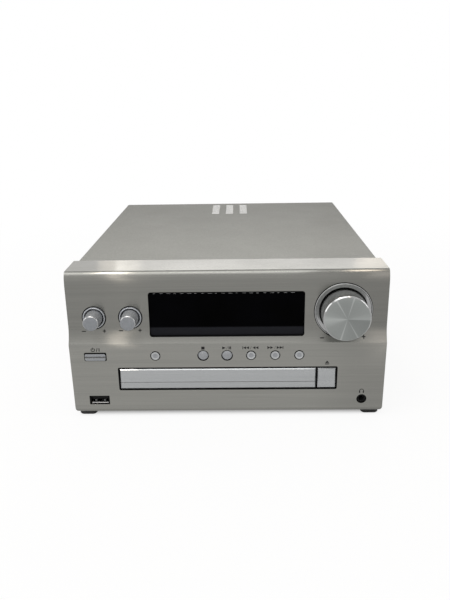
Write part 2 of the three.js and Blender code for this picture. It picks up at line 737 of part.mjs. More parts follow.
function panelSide() {
  const shape = new THREE.Shape();
  shape.moveTo(STRIP_DEPTH, panelBottom);
  shape.lineTo(BOTTOM_EDGE_RADIUS, panelBottom);
  shape.quadraticCurveTo(0, panelBottom, lowerFaceAt(panelBottom), panelBottom + BOTTOM_EDGE_RADIUS);
  drawPanelFront(shape, 0, 0);
  shape.lineTo(STRIP_DEPTH, CASE_TOP);
  return shape;
}

// The hollow behind the panel is open to the rear, and below behind the bottom lip
function panelHollowSide() {
  const shape = new THREE.Shape();
  shape.moveTo(STRIP_DEPTH + OVERRUN, panelBottom - OVERRUN);
  shape.lineTo(PANEL_LIP_DEPTH, panelBottom - OVERRUN);
  shape.lineTo(PANEL_LIP_DEPTH, panelBottom + PANEL_WALL);
  shape.lineTo(lowerFaceAt(panelBottom) + PANEL_WALL, panelBottom + PANEL_WALL);
  drawPanelFront(shape, PANEL_WALL, STRIP_WALL);
  shape.lineTo(STRIP_DEPTH + OVERRUN, CASE_TOP - STRIP_WALL);
  return shape;
}

const throughPanel = [-CREASE_REACH - OVERRUN, frameFront];

function frontPanel() {
  const across = [-panelHalf, panelHalf];
  const upwards = [panelBottom, CASE_TOP + PANEL_CORNER_RADIUS];
  const face = roundedRectangle(across, upwards, PANEL_CORNER_RADIUS);
  const shell = extrudedAcross(panelSide(), across, PANEL_CURVE_STEPS)
    .intersect(extrudedBack(face, [-CREASE_REACH - OVERRUN, STRIP_DEPTH + OVERRUN]));
  const hollow = extrudedAcross(panelHollowSide(), [-cheekInner, cheekInner], PANEL_CURVE_STEPS);
  const window = roundedRectangle(
    widened(displaySpanX, SEAT_GAP),
    widened(displaySpanZ, SEAT_GAP),
    DISPLAY_CORNER_RADIUS + SEAT_GAP,
  );
  const opening = roundedRectangle(
    [-openingHalf, openingHalf],
    [TRAY_OPENING_BOTTOM, openingTop],
    TRAY_OPENING_RADIUS,
  );
  const power = roundedRectangle(
    around(powerX, POWER_WIDTH + 2 * BUTTON_GAP),
    around(powerZ, POWER_HEIGHT + 2 * BUTTON_GAP),
    POWER_CORNER_RADIUS + BUTTON_GAP,
  );
  const usb = roundedRectangle(
    around(usbX, USB_WIDTH + 2 * SEAT_GAP),
    around(USB_Z, USB_HEIGHT + 2 * SEAT_GAP),
    USB_MOUTH_RADIUS,
  );
  const outlines = [window, opening, power, usb].map((shape) => extrudedBack(shape, throughPanel));
  const rings = Object.values(controls).map(({ x, z, ringRadius, sides }) =>
    rod("y", ringRadius + RING_GAP, throughPanel, [x, z], sides),
  );
  const buttons = roundButtons.map(({ step, radius }) =>
    rod("y", radius + BUTTON_GAP, throughPanel, [step * BUTTON_PITCH, buttonRowZ], BUTTON_SIDES),
  );
  const jack = rod("y", JACK_BARREL_RADIUS + SEAT_GAP, throughPanel, [jackX, JACK_Z], BUTTON_SIDES);
  return cut(shell, hollow, ...outlines, ...rings, ...buttons, jack);
}

// The black frame behind the panel carries the display, the encoders and the front board on its posts
function frontFrame() {
  const through = [frameFront - OVERRUN, frameRear + OVERRUN];
  const bottom = panelBottom + PANEL_WALL + FRAME_EDGE_GAP;
  const top = CASE_TOP - FRAME_TOP_DROP;
  const half = cheekInner - FRAME_EDGE_GAP;
  const plate = block([-half, half], [frameFront, frameRear], [bottom, top]);
  const postX = chassisHalf - BOARD_EDGE_GAP - FRAME_POST_INSET;
  const posts = [-postX, postX].flatMap((x) =>
    [FRAME_POST_LOW_Z, top - FRAME_POST_TOP_DROP].map((z) =>
      rod("y", FRAME_POST_RADIUS, [frameRear - SEAT_GAP, boardFront - SEAT_GAP], [x, z]),
    ),
  );
  const window = block(
    widened(displaySpanX, -FRAME_WINDOW_MARGIN),
    through,
    widened(displaySpanZ, -FRAME_WINDOW_MARGIN),
  );
  const trayPass = block(
    [doorSpanX[0] + DOOR_LAP, doorSpanX[1] - DOOR_LAP],
    through,
    [doorSpanZ[0] + SEAT_GAP, doorSpanZ[1] - SEAT_GAP],
  );
  const bushes = Object.values(controls).map(({ x, z, shaftRadius }) =>
    rod("y", shaftRadius + SHAFT_GAP + BUSH_WALL + SEAT_GAP, through, [x, z], BUTTON_SIDES),
  );
  const stemHoles = stems.map(({ x, z }) => rod("y", STEM_RADIUS + SEAT_GAP, through, [x, z]));
  const usb = block(
    around(usbX, USB_WIDTH + 2 * SEAT_GAP),
    through,
    around(USB_Z, USB_HEIGHT + 2 * SEAT_GAP),
  );
  const jack = rod("y", JACK_BARREL_RADIUS + SEAT_GAP, through, [jackX, JACK_Z], BUTTON_SIDES);
  return cut(join(plate, ...posts), window, trayPass, ...bushes, ...stemHoles, usb, jack);
}

// The front board straddles the tray, with a leg at each side, and carries one key switch per button
function frontBoard() {
  const half = chassisHalf - BOARD_EDGE_GAP;
  const bottom = panelBottom + PANEL_WALL + BOARD_FOOT_GAP;
  const top = CASE_TOP - STRIP_WALL - BOARD_FOOT_GAP;
  const plate = block([-half, half], [boardFront, boardRear], [bottom, top]);
  const trayGap = block(
    [trayX - loaderWallOuter - BOARD_LEG_GAP, trayX + loaderWallOuter + BOARD_LEG_GAP],
    [boardFront - OVERRUN, boardRear + OVERRUN],
    [bottom - OVERRUN, openingTop + BOARD_TRAY_GAP],
  );
  const deep = [boardFront - SWITCH_HEIGHT, boardFront + SEAT_GAP];
  const switches = stems.map(({ x, z }) => block(around(x, SWITCH_SIDE), deep, around(z, SWITCH_SIDE)));
  return join(cut(plate, trayGap), ...switches);
}

function displayWindow() {
  const outline = roundedRectangle(displaySpanX, displaySpanZ, DISPLAY_CORNER_RADIUS);
  const front = UPPER_FACE_RECESS + WINDOW_RECESS;
  return extrudedBack(outline, [front, front + WINDOW_THICKNESS]);
}

// The display glass stands in a shallow tray behind the frame
function displayModule() {
  const front = frameRear + SEAT_GAP;
  const rear = Math.min(front + MODULE_DEPTH, boardFront - SEAT_GAP);
  const across = widened(displaySpanX, -MODULE_MARGIN);
  const high = widened(displaySpanZ, -MODULE_MARGIN);
  const body = block(across, [front, rear], high);
  const glass = block(
    widened(across, -MODULE_BEZEL),
    [front - OVERRUN, front + MODULE_BEZEL / 2],
    widened(high, -MODULE_BEZEL),
  );
  return cut(body, glass);
}

// A bright ring let into the panel: a narrow land, then a dish that falls towards the knob
function controlRing({ ringRadius, ringWall, sides }) {
  const inner = ringRadius - ringWall;
  const front = UPPER_FACE_RECESS - RING_PROUD;
  const rear = frameFront - SEAT_GAP;
  return turned(
    [
      [inner, front + RING_DISH],
      [ringRadius - RING_LAND * 2, front + RING_LAND],
      [ringRadius - RING_LAND, front],
      [ringRadius, front + RING_LAND],
      [ringRadius, rear],
      [inner, rear],
      [inner, front + RING_DISH],
    ],
    sides,
  );
}

// A knob turned from bar, with a blind bore for its shaft
function controlKnob({ knobRadius, taper, reach, chamfer, shaftRadius, sides }) {
  const bore = shaftRadius + SHAFT_FIT_GAP;
  const boreEnd = knobRear - Math.min(KNOB_BORE_DEPTH, reach);
  const face = knobRadius - taper;
  return turned(
    [
      [0, -reach],
      [face - chamfer, -reach],
      [face, chamfer - reach],
      [knobRadius, UPPER_FACE_RECESS],
      [knobRadius, knobRear],
      [bore, knobRear],
      [bore, boreEnd],
      [0, boreEnd],
    ],
    sides,
  );
}

function controlShaft({ shaftRadius, reach }) {
  const boreEnd = knobRear - Math.min(KNOB_BORE_DEPTH, reach);
  return rod("y", shaftRadius, [boreEnd + SEAT_GAP, boardFront - SEAT_GAP - SHAFT_END_GAP], [0, 0]);
}

function controlEncoder({ shaftRadius, encoderSide }) {
  const front = frameRear + SEAT_GAP;
  const rear = boardFront - SEAT_GAP;
  const bushRadius = shaftRadius + SHAFT_GAP + BUSH_WALL;
  const side = around(0, encoderSide);
  const body = block(side, [Math.max(front, rear - ENCODER_DEPTH), rear], side);
  const bush = rod("y", bushRadius, [frameFront - SEAT_GAP / 2, rear], [0, 0], BUTTON_SIDES);
  const bore = rod("y", shaftRadius + SHAFT_GAP, [-OVERRUN, rear - SHAFT_END_GAP + SEAT_GAP], [0, 0]);
  return cut(join(body, bush), bore);
}

// A round button: a slightly dished cap, a flange behind the panel and a stem to its switch
function roundButton(radius) {
  return turned(
    [
      [0, buttonFace + BUTTON_CHAMFER / 2],
      [radius - 2 * BUTTON_CHAMFER, buttonFace],
      [radius - BUTTON_CHAMFER, buttonFace],
      [radius, buttonFace + BUTTON_CHAMFER],
      [radius, flangeFront],
      [radius + BUTTON_FLANGE, flangeFront],
      [radius + BUTTON_FLANGE, flangeRear],
      [STEM_RADIUS, flangeRear],
      [STEM_RADIUS, stemRear],
      [0, stemRear],
    ],
    BUTTON_SIDES,
  );
}

// The power key is a bar with a groove along its middle
function powerButton() {
  const cap = roundedRectangle(around(0, POWER_WIDTH), around(0, POWER_HEIGHT), POWER_CORNER_RADIUS);
  const flange = block(
    around(0, POWER_WIDTH + 2 * BUTTON_FLANGE),
    [flangeFront, flangeRear],
    around(0, POWER_HEIGHT + 2 * BUTTON_FLANGE),
  );
  const stem = rod("y", STEM_RADIUS, [flangeFront, stemRear], [0, 0]);
  const groove = block(
    around(0, POWER_WIDTH + OVERRUN),
    [buttonFace - OVERRUN, buttonFace + POWER_GROOVE_DEPTH],
    around(0, POWER_GROOVE_WIDTH),
  );
  return cut(join(extrudedBack(cap, [buttonFace, flangeRear]), flange, stem), groove);
}

// Seen from the side, the door and the eject button share one face with a faint crease and bevelled edges
function doorSide(rear) {
  const [bottom, top] = doorSpanZ;
  const face = -DOOR_FACE_REACH;
  return polygon([
    [rear, bottom],
    [rear, top],
    [face + DOOR_BEVEL, top],
    [face, top - DOOR_BEVEL],
    [face, bottom + DOOR_CREASE_HEIGHT],
    [face + DOOR_FACE_SLOPE, bottom + DOOR_BEVEL],
    [face + DOOR_FACE_SLOPE + DOOR_BEVEL, bottom],
  ].reverse());
}

// The ends of the door and of the eject button are bevelled as their long edges are
function endBevels([left, right]) {
  const face = -DOOR_FACE_REACH;
  const outline = polygon([
    [left, face + DOOR_BEVEL],
    [left + DOOR_BEVEL, face],
    [right - DOOR_BEVEL, face],
    [right, face + DOOR_BEVEL],
    [right, doorRear + OVERRUN],
    [left, doorRear + OVERRUN],
  ]);
  return extrudedUp(outline, doorSpanZ);
}

function trayDoor() {
  return extrudedAcross(doorSide(doorRear), doorSpanX).intersect(endBevels(doorSpanX));
}

function ejectButton() {
  const span = [ejectLeft, ejectRight];
  const cap = extrudedAcross(doorSide(doorRear), span).intersect(endBevels(span));
  return join(cap, rod("y", STEM_RADIUS, [doorRear - SEAT_GAP, stemRear], [ejectStem.x, ejectStem.z]));
}

// A USB socket: a folded shell round a tongue that hangs under its roof
function usbSocket() {
  const front = lowerFaceAt(USB_Z) + USB_MOUTH_SETBACK;
  const rear = Math.max(front + USB_DEPTH, boardFront - SEAT_GAP);
  const shell = block(around(0, USB_WIDTH), [front, rear], around(0, USB_HEIGHT));
  const inner = USB_WIDTH - 2 * USB_SHELL;
  const roof = USB_HEIGHT / 2 - USB_SHELL;
  const backWall = rear - 2 * USB_SHELL;
  const cavity = block(around(0, inner), [front - OVERRUN, backWall], [-roof, roof]);
  const tongue = block(
    around(0, inner - 2 * USB_SIDE_GAP),
    [front + USB_TONGUE_SETBACK, rear - USB_SHELL],
    [roof - USB_TONGUE - USB_SHELL, roof - USB_SHELL],
  );
  return join(cut(shell, cavity), tongue);
}

function headphoneJack() {
  const front = lowerFaceAt(JACK_Z) + JACK_SETBACK;
  const rear = boardFront - SEAT_GAP;
  const deep = [frameRear + SEAT_GAP, rear];
  const body = block(around(0, JACK_BODY_WIDTH), deep, around(0, JACK_BODY_HEIGHT));
  const barrel = rod("y", JACK_BARREL_RADIUS, [front, rear], [0, 0], BUTTON_SIDES);
  const boreEnd = Math.min(front + JACK_BORE_DEPTH, rear - BUSH_WALL);
  const bore = rod("y", JACK_BORE_RADIUS, [front - OVERRUN, boreEnd], [0, 0]);
  return cut(join(body, barrel), bore);
}

// The outline of the pinion, one straight-sided tooth after another, with a tooth pointing to +X
function pinionOutline() {
  const step = FULL_TURN / PINION_TEETH;
  const tip = pinionRadius + toothDepthShares.tip * GEAR_MODULE;
  const root = pinionRadius - toothDepthShares.root * GEAR_MODULE;
  const corners = [
    [root, -pinionToothShares.root],
    [pinionRadius, -pinionToothShares.pitch],
    [tip, -pinionToothShares.tip],
    [tip, pinionToothShares.tip],
    [pinionRadius, pinionToothShares.pitch],
    [root, pinionToothShares.root],
  ];
  const points = [];
  for (let tooth = 0; tooth < PINION_TEETH; tooth += 1) {
    for (const [radius, share] of corners) {
      const angle = (tooth + (share * pinionRadius) / radius) * step;
      points.push([radius * Math.cos(angle), radius * Math.sin(angle)]);
    }
  }
  return polygon(points);
}

// The rack's teeth point to -X, with a gap between two of them beside the pinion's axis
function rackOutline() {
  const teeth = TRAVEL_PITCHES + 2 * SPARE_PITCHES;
  const start = pinionY - SPARE_PITCHES * toothPitch;
  const tip = rackLineX - toothDepthShares.tip * GEAR_MODULE;
  const root = rackLineX + toothDepthShares.root * GEAR_MODULE;
  const points = [];
  for (let tooth = 0; tooth < teeth; tooth += 1) {
    const middle = start + (tooth + 1 / 2) * toothPitch;
    points.push([root, middle - rackToothShares.root * toothPitch]);
    points.push([tip, middle - rackToothShares.tip * toothPitch]);
    points.push([tip, middle + rackToothShares.tip * toothPitch]);
    points.push([root, middle + rackToothShares.root * toothPitch]);
  }
  const end = start + teeth * toothPitch;
  points.push([root, end], [root + RACK_BACK, end], [root + RACK_BACK, start], [root, start]);
  return polygon(points.reverse());
}

// The disc tray, X 0 on the disc's axis: flanged sides, two recesses, and a slot open to the rear
function discTray() {
  const flangeTop = trayUnderside + TRAY_FLANGE_HEIGHT;
  const section = polygon([
    [-trayFlangeHalf, trayUnderside],
    [trayFlangeHalf, trayUnderside],
    [trayFlangeHalf, flangeTop],
    [trayBodyHalf, flangeTop],
    [trayBodyHalf, trayTop],
    [-trayBodyHalf, trayTop],
    [-trayBodyHalf, flangeTop],
    [-trayFlangeHalf, flangeTop],
  ]);
  const body = extrudedBack(section, [trayFront, TRAY_REAR]);
  const frontWall = block(
    [-trayBodyHalf, trayBodyHalf],
    [trayFront, trayFront + TRAY_FRONT_WALL],
    [trayUnderside, trayTop + TRAY_FRONT_RISE],
  );
  const rack = extrudedUp(rackOutline(), [rackBottom, trayUnderside + SEAT_GAP]);
  const above = trayTop + TRAY_FRONT_RISE + OVERRUN;
  const recess = rod("z", recessRadius, [trayFloorTop, above], [0, discY], DISC_SIDES);
  const smallRadius = SMALL_DISC_RADIUS + DISC_CLEARANCE;
  const smallFloor = trayFloorTop - SMALL_RECESS_DEPTH;
  const smallRecess = rod("z", smallRadius, [smallFloor, above], [0, discY], DISC_SIDES);
  const through = [trayUnderside - OVERRUN, above];
  const slot = block([-SLOT_HALF_WIDTH, SLOT_HALF_WIDTH], [discY, TRAY_REAR + OVERRUN], through);
  const slotEnd = rod("z", SLOT_HALF_WIDTH, through, [0, discY], KNOB_SIDES);
  return cut(join(body, frontWall, rack), recess, smallRecess, slot, slotEnd);
}

// The loader chassis: a channel with ledges under the tray's flanges and lips over them
function loaderChassis() {
  const ledgeInner = loaderWallInner - LEDGE_REACH;
  const lipInner = trayBodyHalf + RAIL_GAP;
  const ledgeTop = trayUnderside - SEAT_GAP;
  const ledgeBottom = ledgeTop - LEDGE_THICKNESS;
  const lipBottom = trayUnderside + TRAY_FLANGE_HEIGHT + SEAT_GAP;
  const lipTop = lipBottom + LIP_THICKNESS;
  const right = [
    [loaderWallOuter, loaderBase],
    [loaderWallOuter, loaderWallTop],
    [loaderWallInner, loaderWallTop],
    [loaderWallInner, lipTop],
    [lipInner, lipTop],
    [lipInner, lipBottom],
    [loaderWallInner, lipBottom],
    [loaderWallInner, ledgeTop],
    [ledgeInner, ledgeTop],
    [ledgeInner, ledgeBottom],
    [loaderWallInner, ledgeBottom],
    [loaderWallInner, loaderFloorTop],
  ];
  const left = right.map(([x, z]) => [-x, z]).reverse();
  const channel = extrudedBack(polygon([...right, ...left]), [loaderFront, loaderRear]);
  const window = block(
    [-floorWindowHalf, floorWindowHalf],
    [floorWindowFront, loaderRear - FLOOR_WINDOW_MARGIN],
    [loaderBase - OVERRUN, loaderFloorTop + OVERRUN],
  );
  const pivotZ = (deckTop + deckBottom) / 2;
  const across = [-loaderWallOuter - OVERRUN, loaderWallOuter + OVERRUN];
  const pivots = rod("x", PIVOT_RADIUS + SHAFT_GAP, across, [deckPivotY, pivotZ]);
  const postSpan = [loaderFloorTop - SEAT_GAP, pinionTop - SEAT_GAP];
  const post = rod("z", GEAR_POST_RADIUS, postSpan, [pinionX, pinionY]);
  return join(cut(channel, window, pivots), post);
}

// A pulley's edge: a lip, a groove for the belt and another lip
function pulleyEdge(radius) {
  const middle = (pulleyTop + pulleyBottom) / 2;
  const groove = radius - PULLEY_GROOVE;
  const halfBelt = BELT_HEIGHT / 2 + BELT_GAP / 2;
  return [
    [radius + PULLEY_LIP, pulleyBottom],
    [radius + PULLEY_LIP, pulleyBottom + PULLEY_LIP],
    [groove, middle - halfBelt],
    [groove, middle + halfBelt],
    [radius + PULLEY_LIP, pulleyTop - PULLEY_LIP],
    [radius + PULLEY_LIP, pulleyTop],
  ];
}

function loadingGear() {
  const bore = GEAR_POST_RADIUS + SHAFT_GAP;
  const bottom = loaderFloorTop + SEAT_GAP;
  const body = turnedUpright(
    [
      [bore, bottom],
      [GEAR_HUB_RADIUS, bottom],
      [GEAR_HUB_RADIUS, pulleyBottom],
      ...pulleyEdge(DRIVE_PULLEY_RADIUS),
      [bore, pulleyTop],
      [bore, bottom],
    ],
    INNER_SIDES,
  );
  const pinion = extrudedUp(pinionOutline(), [pulleyTop - SEAT_GAP, pinionTop]);
  const clear = rod("z", bore, [bottom - OVERRUN, pinionTop + OVERRUN], [0, 0]);
  return join(body, pinion.subtract(clear));
}

function motorPulley() {
  const shaftBottom = pulleyBottom - MOTOR_BORE_DEPTH;
  return turnedUpright(
    [
      [0, shaftBottom],
      [MOTOR_SHAFT_RADIUS, shaftBottom],
      [MOTOR_SHAFT_RADIUS, pulleyBottom],
      ...pulleyEdge(MOTOR_PULLEY_RADIUS),
      [0, pulleyTop],
    ],
    BUTTON_SIDES,
  );
}

function loadingMotor() {
  const top = pulleyBottom - SEAT_GAP;
  const can = rod("z", MOTOR_RADIUS, [loaderFloorTop + SEAT_GAP, top], [0, 0], INNER_SIDES);
  const boreSpan = [top - MOTOR_BORE_DEPTH - SEAT_GAP, top + OVERRUN];
  const bore = rod("z", MOTOR_SHAFT_RADIUS + SHAFT_GAP, boreSpan, [0, 0]);
  return cut(can, bore);
}

// The belt round both pulleys: two arcs joined by their tangents
function beltOutline(large, small) {
  const lean = Math.acos((large - small) / MOTOR_SPACING);
  const shape = new THREE.Shape();
  shape.absarc(0, 0, large, lean - Math.PI, Math.PI - lean);
  shape.absarc(-MOTOR_SPACING, 0, small, Math.PI - lean, Math.PI + lean);
  return shape;
}

function driveBelt() {
  const middle = (pulleyTop + pulleyBottom) / 2;
  const large = DRIVE_PULLEY_RADIUS - PULLEY_GROOVE + BELT_GAP;
  const small = MOTOR_PULLEY_RADIUS - PULLEY_GROOVE + BELT_GAP;
  const high = around(middle, BELT_HEIGHT);
  const outside = extrudedUp(beltOutline(large + BELT_WIDTH, small + BELT_WIDTH), high, BELT_STEPS);
  const inside = extrudedUp(beltOutline(large, small), past(high), BELT_STEPS);
  return cut(outside, inside);
}

// The traverse deck tilts on two stub axles and holds the two rods in pierced blocks
function traverseDeck() {
  const thickness = [deckBottom, deckTop];
  const through = [deckBottom - OVERRUN, deckTop + OVERRUN];
  const pivotZ = (deckTop + deckBottom) / 2;
  const armHalf = loaderWallInner - DECK_ARM_GAP;
  const deckSpan = [discY - DECK_FRONT_REACH, deckPivotY];
  const deck = block([-DECK_HALF_WIDTH, DECK_HALF_WIDTH], deckSpan, thickness);
  const arms = block([-armHalf, armHalf], around(deckPivotY, 2 * DECK_ARM_HALF_LENGTH), thickness);
  const pinHalf = loaderWallOuter - PIVOT_END_GAP;
  const pins = rod("x", PIVOT_RADIUS, [-pinHalf, pinHalf], [deckPivotY, pivotZ]);
  const pinClear = block(
    [-armHalf + DECK_ARM_HALF_LENGTH, armHalf - DECK_ARM_HALF_LENGTH],
    around(deckPivotY, 4 * DECK_ARM_HALF_LENGTH),
    [deckTop, deckTop + OVERRUN],
  );
  const window = block([-sledWindowHalf, sledWindowHalf], sledWindowY, through);
  const spindleHole = rod("z", SPINDLE_BOSS_RADIUS + SEAT_GAP, through, [0, discY], BUTTON_SIDES);
  const holders = rodPlaces.flatMap(({ x }) =>
    rodHolderYs.map((span) => block(around(x, ROD_HOLDER_SIDE), span, around(rodZ, ROD_HOLDER_SIDE))),
  );
  const bores = rodPlaces.map(({ x }) => rod("y", rodBore, past(rodSpan), [x, rodZ]));
  const body = join(deck, arms, pins.subtract(pinClear), ...holders);
  return cut(body, window, spindleHole, ...bores);
}

function spindleMotor() {
  const top = deckBottom - SEAT_GAP;
  const can = rod("z", SPINDLE_MOTOR_RADIUS, [top - SPINDLE_MOTOR_HEIGHT, top], [0, 0], INNER_SIDES);
  const bossTop = deckTop + SPINDLE_BOSS_HEIGHT;
  const boss = rod("z", SPINDLE_BOSS_RADIUS, [top - SEAT_GAP, bossTop], [0, 0], BUTTON_SIDES);
  const boreSpan = [top - SPINDLE_MOTOR_HEIGHT / 2, bossTop + OVERRUN];
  const bore = rod("z", SPINDLE_RADIUS + SHAFT_GAP, boreSpan, [0, 0]);
  return cut(join(can, boss), bore);
}

// The turntable: a spindle, a hub, the platter that carries the disc and a cone for the disc's hole
function turntable() {
  const hubBottom = deckTop + SPINDLE_BOSS_HEIGHT + SEAT_GAP;
  const spindleBottom = deckBottom - SEAT_GAP - SPINDLE_MOTOR_HEIGHT / 2 + SEAT_GAP;
  const platterBottom = discPlane - TURNTABLE_THICKNESS;
  return turnedUpright(
    [
      [0, spindleBottom],
      [SPINDLE_RADIUS, spindleBottom],
      [SPINDLE_RADIUS, hubBottom],
      [TURNTABLE_HUB_RADIUS, hubBottom],
      [TURNTABLE_HUB_RADIUS, platterBottom],
      [TURNTABLE_RADIUS, platterBottom],
      [TURNTABLE_RADIUS, discPlane],
      [TURNTABLE_CONE_RADIUS, discPlane],
      [TURNTABLE_CONE_RADIUS, discPlane + TURNTABLE_CONE_HEIGHT / 2],
      [TURNTABLE_HUB_RADIUS, discPlane + TURNTABLE_CONE_HEIGHT],
      [0, discPlane + TURNTABLE_CONE_HEIGHT],
    ],
    INNER_SIDES,
  );
}

// The pickup sled in its own frame, X 0 and Y 0 at the lens: a bearing on each rod and the lens on top
function pickupSled() {
  const bottom = deckTop - SLED_BOTTOM_DROP;
  const top = bottom + SLED_HEIGHT;
  const body = block([-SLED_HALF_WIDTH, SLED_HALF_WIDTH], [-SLED_FRONT, sledRear], [bottom, top]);
  const bearingSpan = around(sledRear - SLED_BEARING_LENGTH, SLED_BEARING_LENGTH);
  const bearings = rodPlaces.map(({ x }) =>
    rod("y", rodBore + BEARING_WALL, bearingSpan, [x, rodZ], BUTTON_SIDES),
  );
  const arms = block([-ROD_X, ROD_X], bearingSpan, [bottom, rodZ]);
  const bores = rodPlaces.map(({ x }) => rod("y", rodBore, [-SLED_LENGTH, SLED_LENGTH], [x, rodZ]));
  const lens = rod("z", LENS_RADIUS, [top - SEAT_GAP, top + LENS_HEIGHT], [0, 0], BUTTON_SIDES);
  return join(cut(join(body, arms, ...bearings), ...bores), lens);
}

// The screw that drives the sled, shown by evenly spaced grooves
function sledScrew() {
  const [start, end] = rodSpan;
  const pitch = (end - start) / (2 * SCREW_GROOVES + 1);
  const outline = [[0, start]];
  for (let turn = 0; turn <= 2 * SCREW_GROOVES; turn += 1) {
    const radius = ROD_RADIUS - (turn % 2) * SCREW_GROOVE_DEPTH;
    outline.push([radius, start + turn * pitch], [radius, start + (turn + 1) * pitch]);
  }
  outline.push([0, end]);
  return turned(outline, SHAFT_SIDES);
}

// A pressed bridge across the loader's walls carries the clamper in its hole
function clampBridge() {
  const across = [-loaderWallOuter, loaderWallOuter];
  const high = [bridgeBottom, bridgeTop];
  const plate = block(across, around(discY, 2 * BRIDGE_HALF_LENGTH), high);
  const flanges = [-1, 1].map((side) => {
    const edge = discY + side * (BRIDGE_HALF_LENGTH - BRIDGE_THICKNESS / 2);
    return block(across, around(edge, BRIDGE_THICKNESS), [bridgeBottom, bridgeTop + BRIDGE_FLANGE_HEIGHT]);
  });
  const holeRadius = CLAMPER_NECK_RADIUS + CLAMPER_NECK_GAP;
  const hole = rod("z", holeRadius, past(high), [0, discY], BUTTON_SIDES);
  return cut(join(plate, ...flanges), hole);
}

function clamper() {
  const padBottom = discPlane + DISC_THICKNESS + SEAT_GAP;
  const hollowTop = padBottom + CLAMPER_HOLLOW_DEPTH;
  const flangeBottom = bridgeTop + SEAT_GAP;
  return turnedUpright(
    [
      [0, hollowTop],
      [CLAMPER_HOLLOW_RADIUS, hollowTop],
      [CLAMPER_HOLLOW_RADIUS, padBottom],
      [CLAMPER_RADIUS, padBottom],
      [CLAMPER_RADIUS, padBottom + CLAMPER_PAD_THICKNESS],
      [CLAMPER_NECK_RADIUS, padBottom + CLAMPER_PAD_THICKNESS],
      [CLAMPER_NECK_RADIUS, flangeBottom],
      [CLAMPER_TOP_RADIUS, flangeBottom],
      [CLAMPER_TOP_RADIUS, flangeBottom + CLAMPER_TOP_THICKNESS],
      [0, flangeBottom + CLAMPER_TOP_THICKNESS],
    ],
    INNER_SIDES,
  );
}

// The bottom chassis: a folded pan with side flanges and four standoffs for the main board
function bottomChassis() {
  const across = [-chassisHalf, chassisHalf];
  const floor = block(across, [chassisFront, chassisRear], [panelBottom, chassisFloorTop]);
  const flangeTop = chassisFloorTop + CHASSIS_FLANGE;
  const flanges = [-1, 1].map((side) => {
    const edge = side * (chassisHalf - SHEET / 2);
    return block(around(edge, SHEET), [STRIP_DEPTH + SEAT_GAP, chassisRear], [panelBottom, flangeTop]);
  });
  const standoffX = mainBoardHalf - STANDOFF_INSET;
  const standoffs = [-standoffX, standoffX].flatMap((x) =>
    [mainBoardFront + STANDOFF_INSET, mainBoardRear - STANDOFF_INSET].map((y) =>
      rod("z", STANDOFF_RADIUS, [chassisFloorTop - SHEET / 2, chassisFloorTop + STANDOFF_HEIGHT], [x, y]),
    ),
  );
  return join(floor, ...flanges, ...standoffs);
}

// The cover: one folded sheet with bent upper edges and three columns of air slots near its rear
function topCover() {
  const front = STRIP_DEPTH + SEAT_GAP;
  const bottom = panelBottom + SEAT_GAP;
  const reach = CASE_TOP + COVER_BEND;
  const outer = roundedRectangle([-coverHalf, coverHalf], [bottom - 2 * COVER_BEND, CASE_TOP], COVER_BEND);
  const inner = roundedRectangle(
    [-coverInner, coverInner],
    [bottom - 2 * COVER_BEND - OVERRUN, CASE_TOP - SHEET],
    COVER_BEND - SHEET,
  );
  const through = past([front, COVER_REAR]);
  const above = block(past([-coverHalf, coverHalf]), through, [bottom, reach]);
  const shell = extrudedBack(outer, [front, COVER_REAR]).intersect(above);
  const hollow = extrudedBack(inner, through);
  const slots = [];
  for (let column = 0; column < SLOT_COLUMNS; column += 1) {
    for (let row = 0; row < SLOT_ROWS; row += 1) {
      const x = (column - (SLOT_COLUMNS - 1) / 2) * SLOT_COLUMN_PITCH;
      const y = COVER_REAR - SLOT_REAR_MARGIN - SLOT_LENGTH / 2 - row * SLOT_PITCH;
      const high = past([CASE_TOP - SHEET, CASE_TOP]);
      slots.push(block(around(x, SLOT_WIDTH), around(y, SLOT_LENGTH), high));
    }
  }
  return cut(shell, hollow, ...slots);
}

function rearPanel() {
  const through = [rearPanelFront - OVERRUN, COVER_REAR + OVERRUN];
  const half = coverInner - REAR_EDGE_GAP;
  const plate = block(
    [-half, half],
    [rearPanelFront, COVER_REAR],
    [panelBottom + REAR_EDGE_GAP, CASE_TOP - SHEET - REAR_EDGE_GAP],
  );
  const inlet = block(
    around(inletX, INLET_WIDTH + 2 * SOCKET_HOLE_GAP),
    through,
    around(INLET_Z, INLET_HEIGHT + 2 * SOCKET_HOLE_GAP),
  );
  const sockets = socketXs.map((x, index) =>
    rod("y", socketRadii[index] + SOCKET_HOLE_GAP, through, [x, SOCKET_Z], BUTTON_SIDES),
  );
  const terminals = block(
    around(terminalX, TERMINAL_PLATE_WIDTH - 2 * TERMINAL_BODY_MARGIN + 2 * SOCKET_HOLE_GAP),
    through,
    around(TERMINAL_Z, TERMINAL_PLATE_HEIGHT - 2 * TERMINAL_BODY_MARGIN + 2 * SOCKET_HOLE_GAP),
  );
  return cut(plate, inlet, ...sockets, terminals);
}

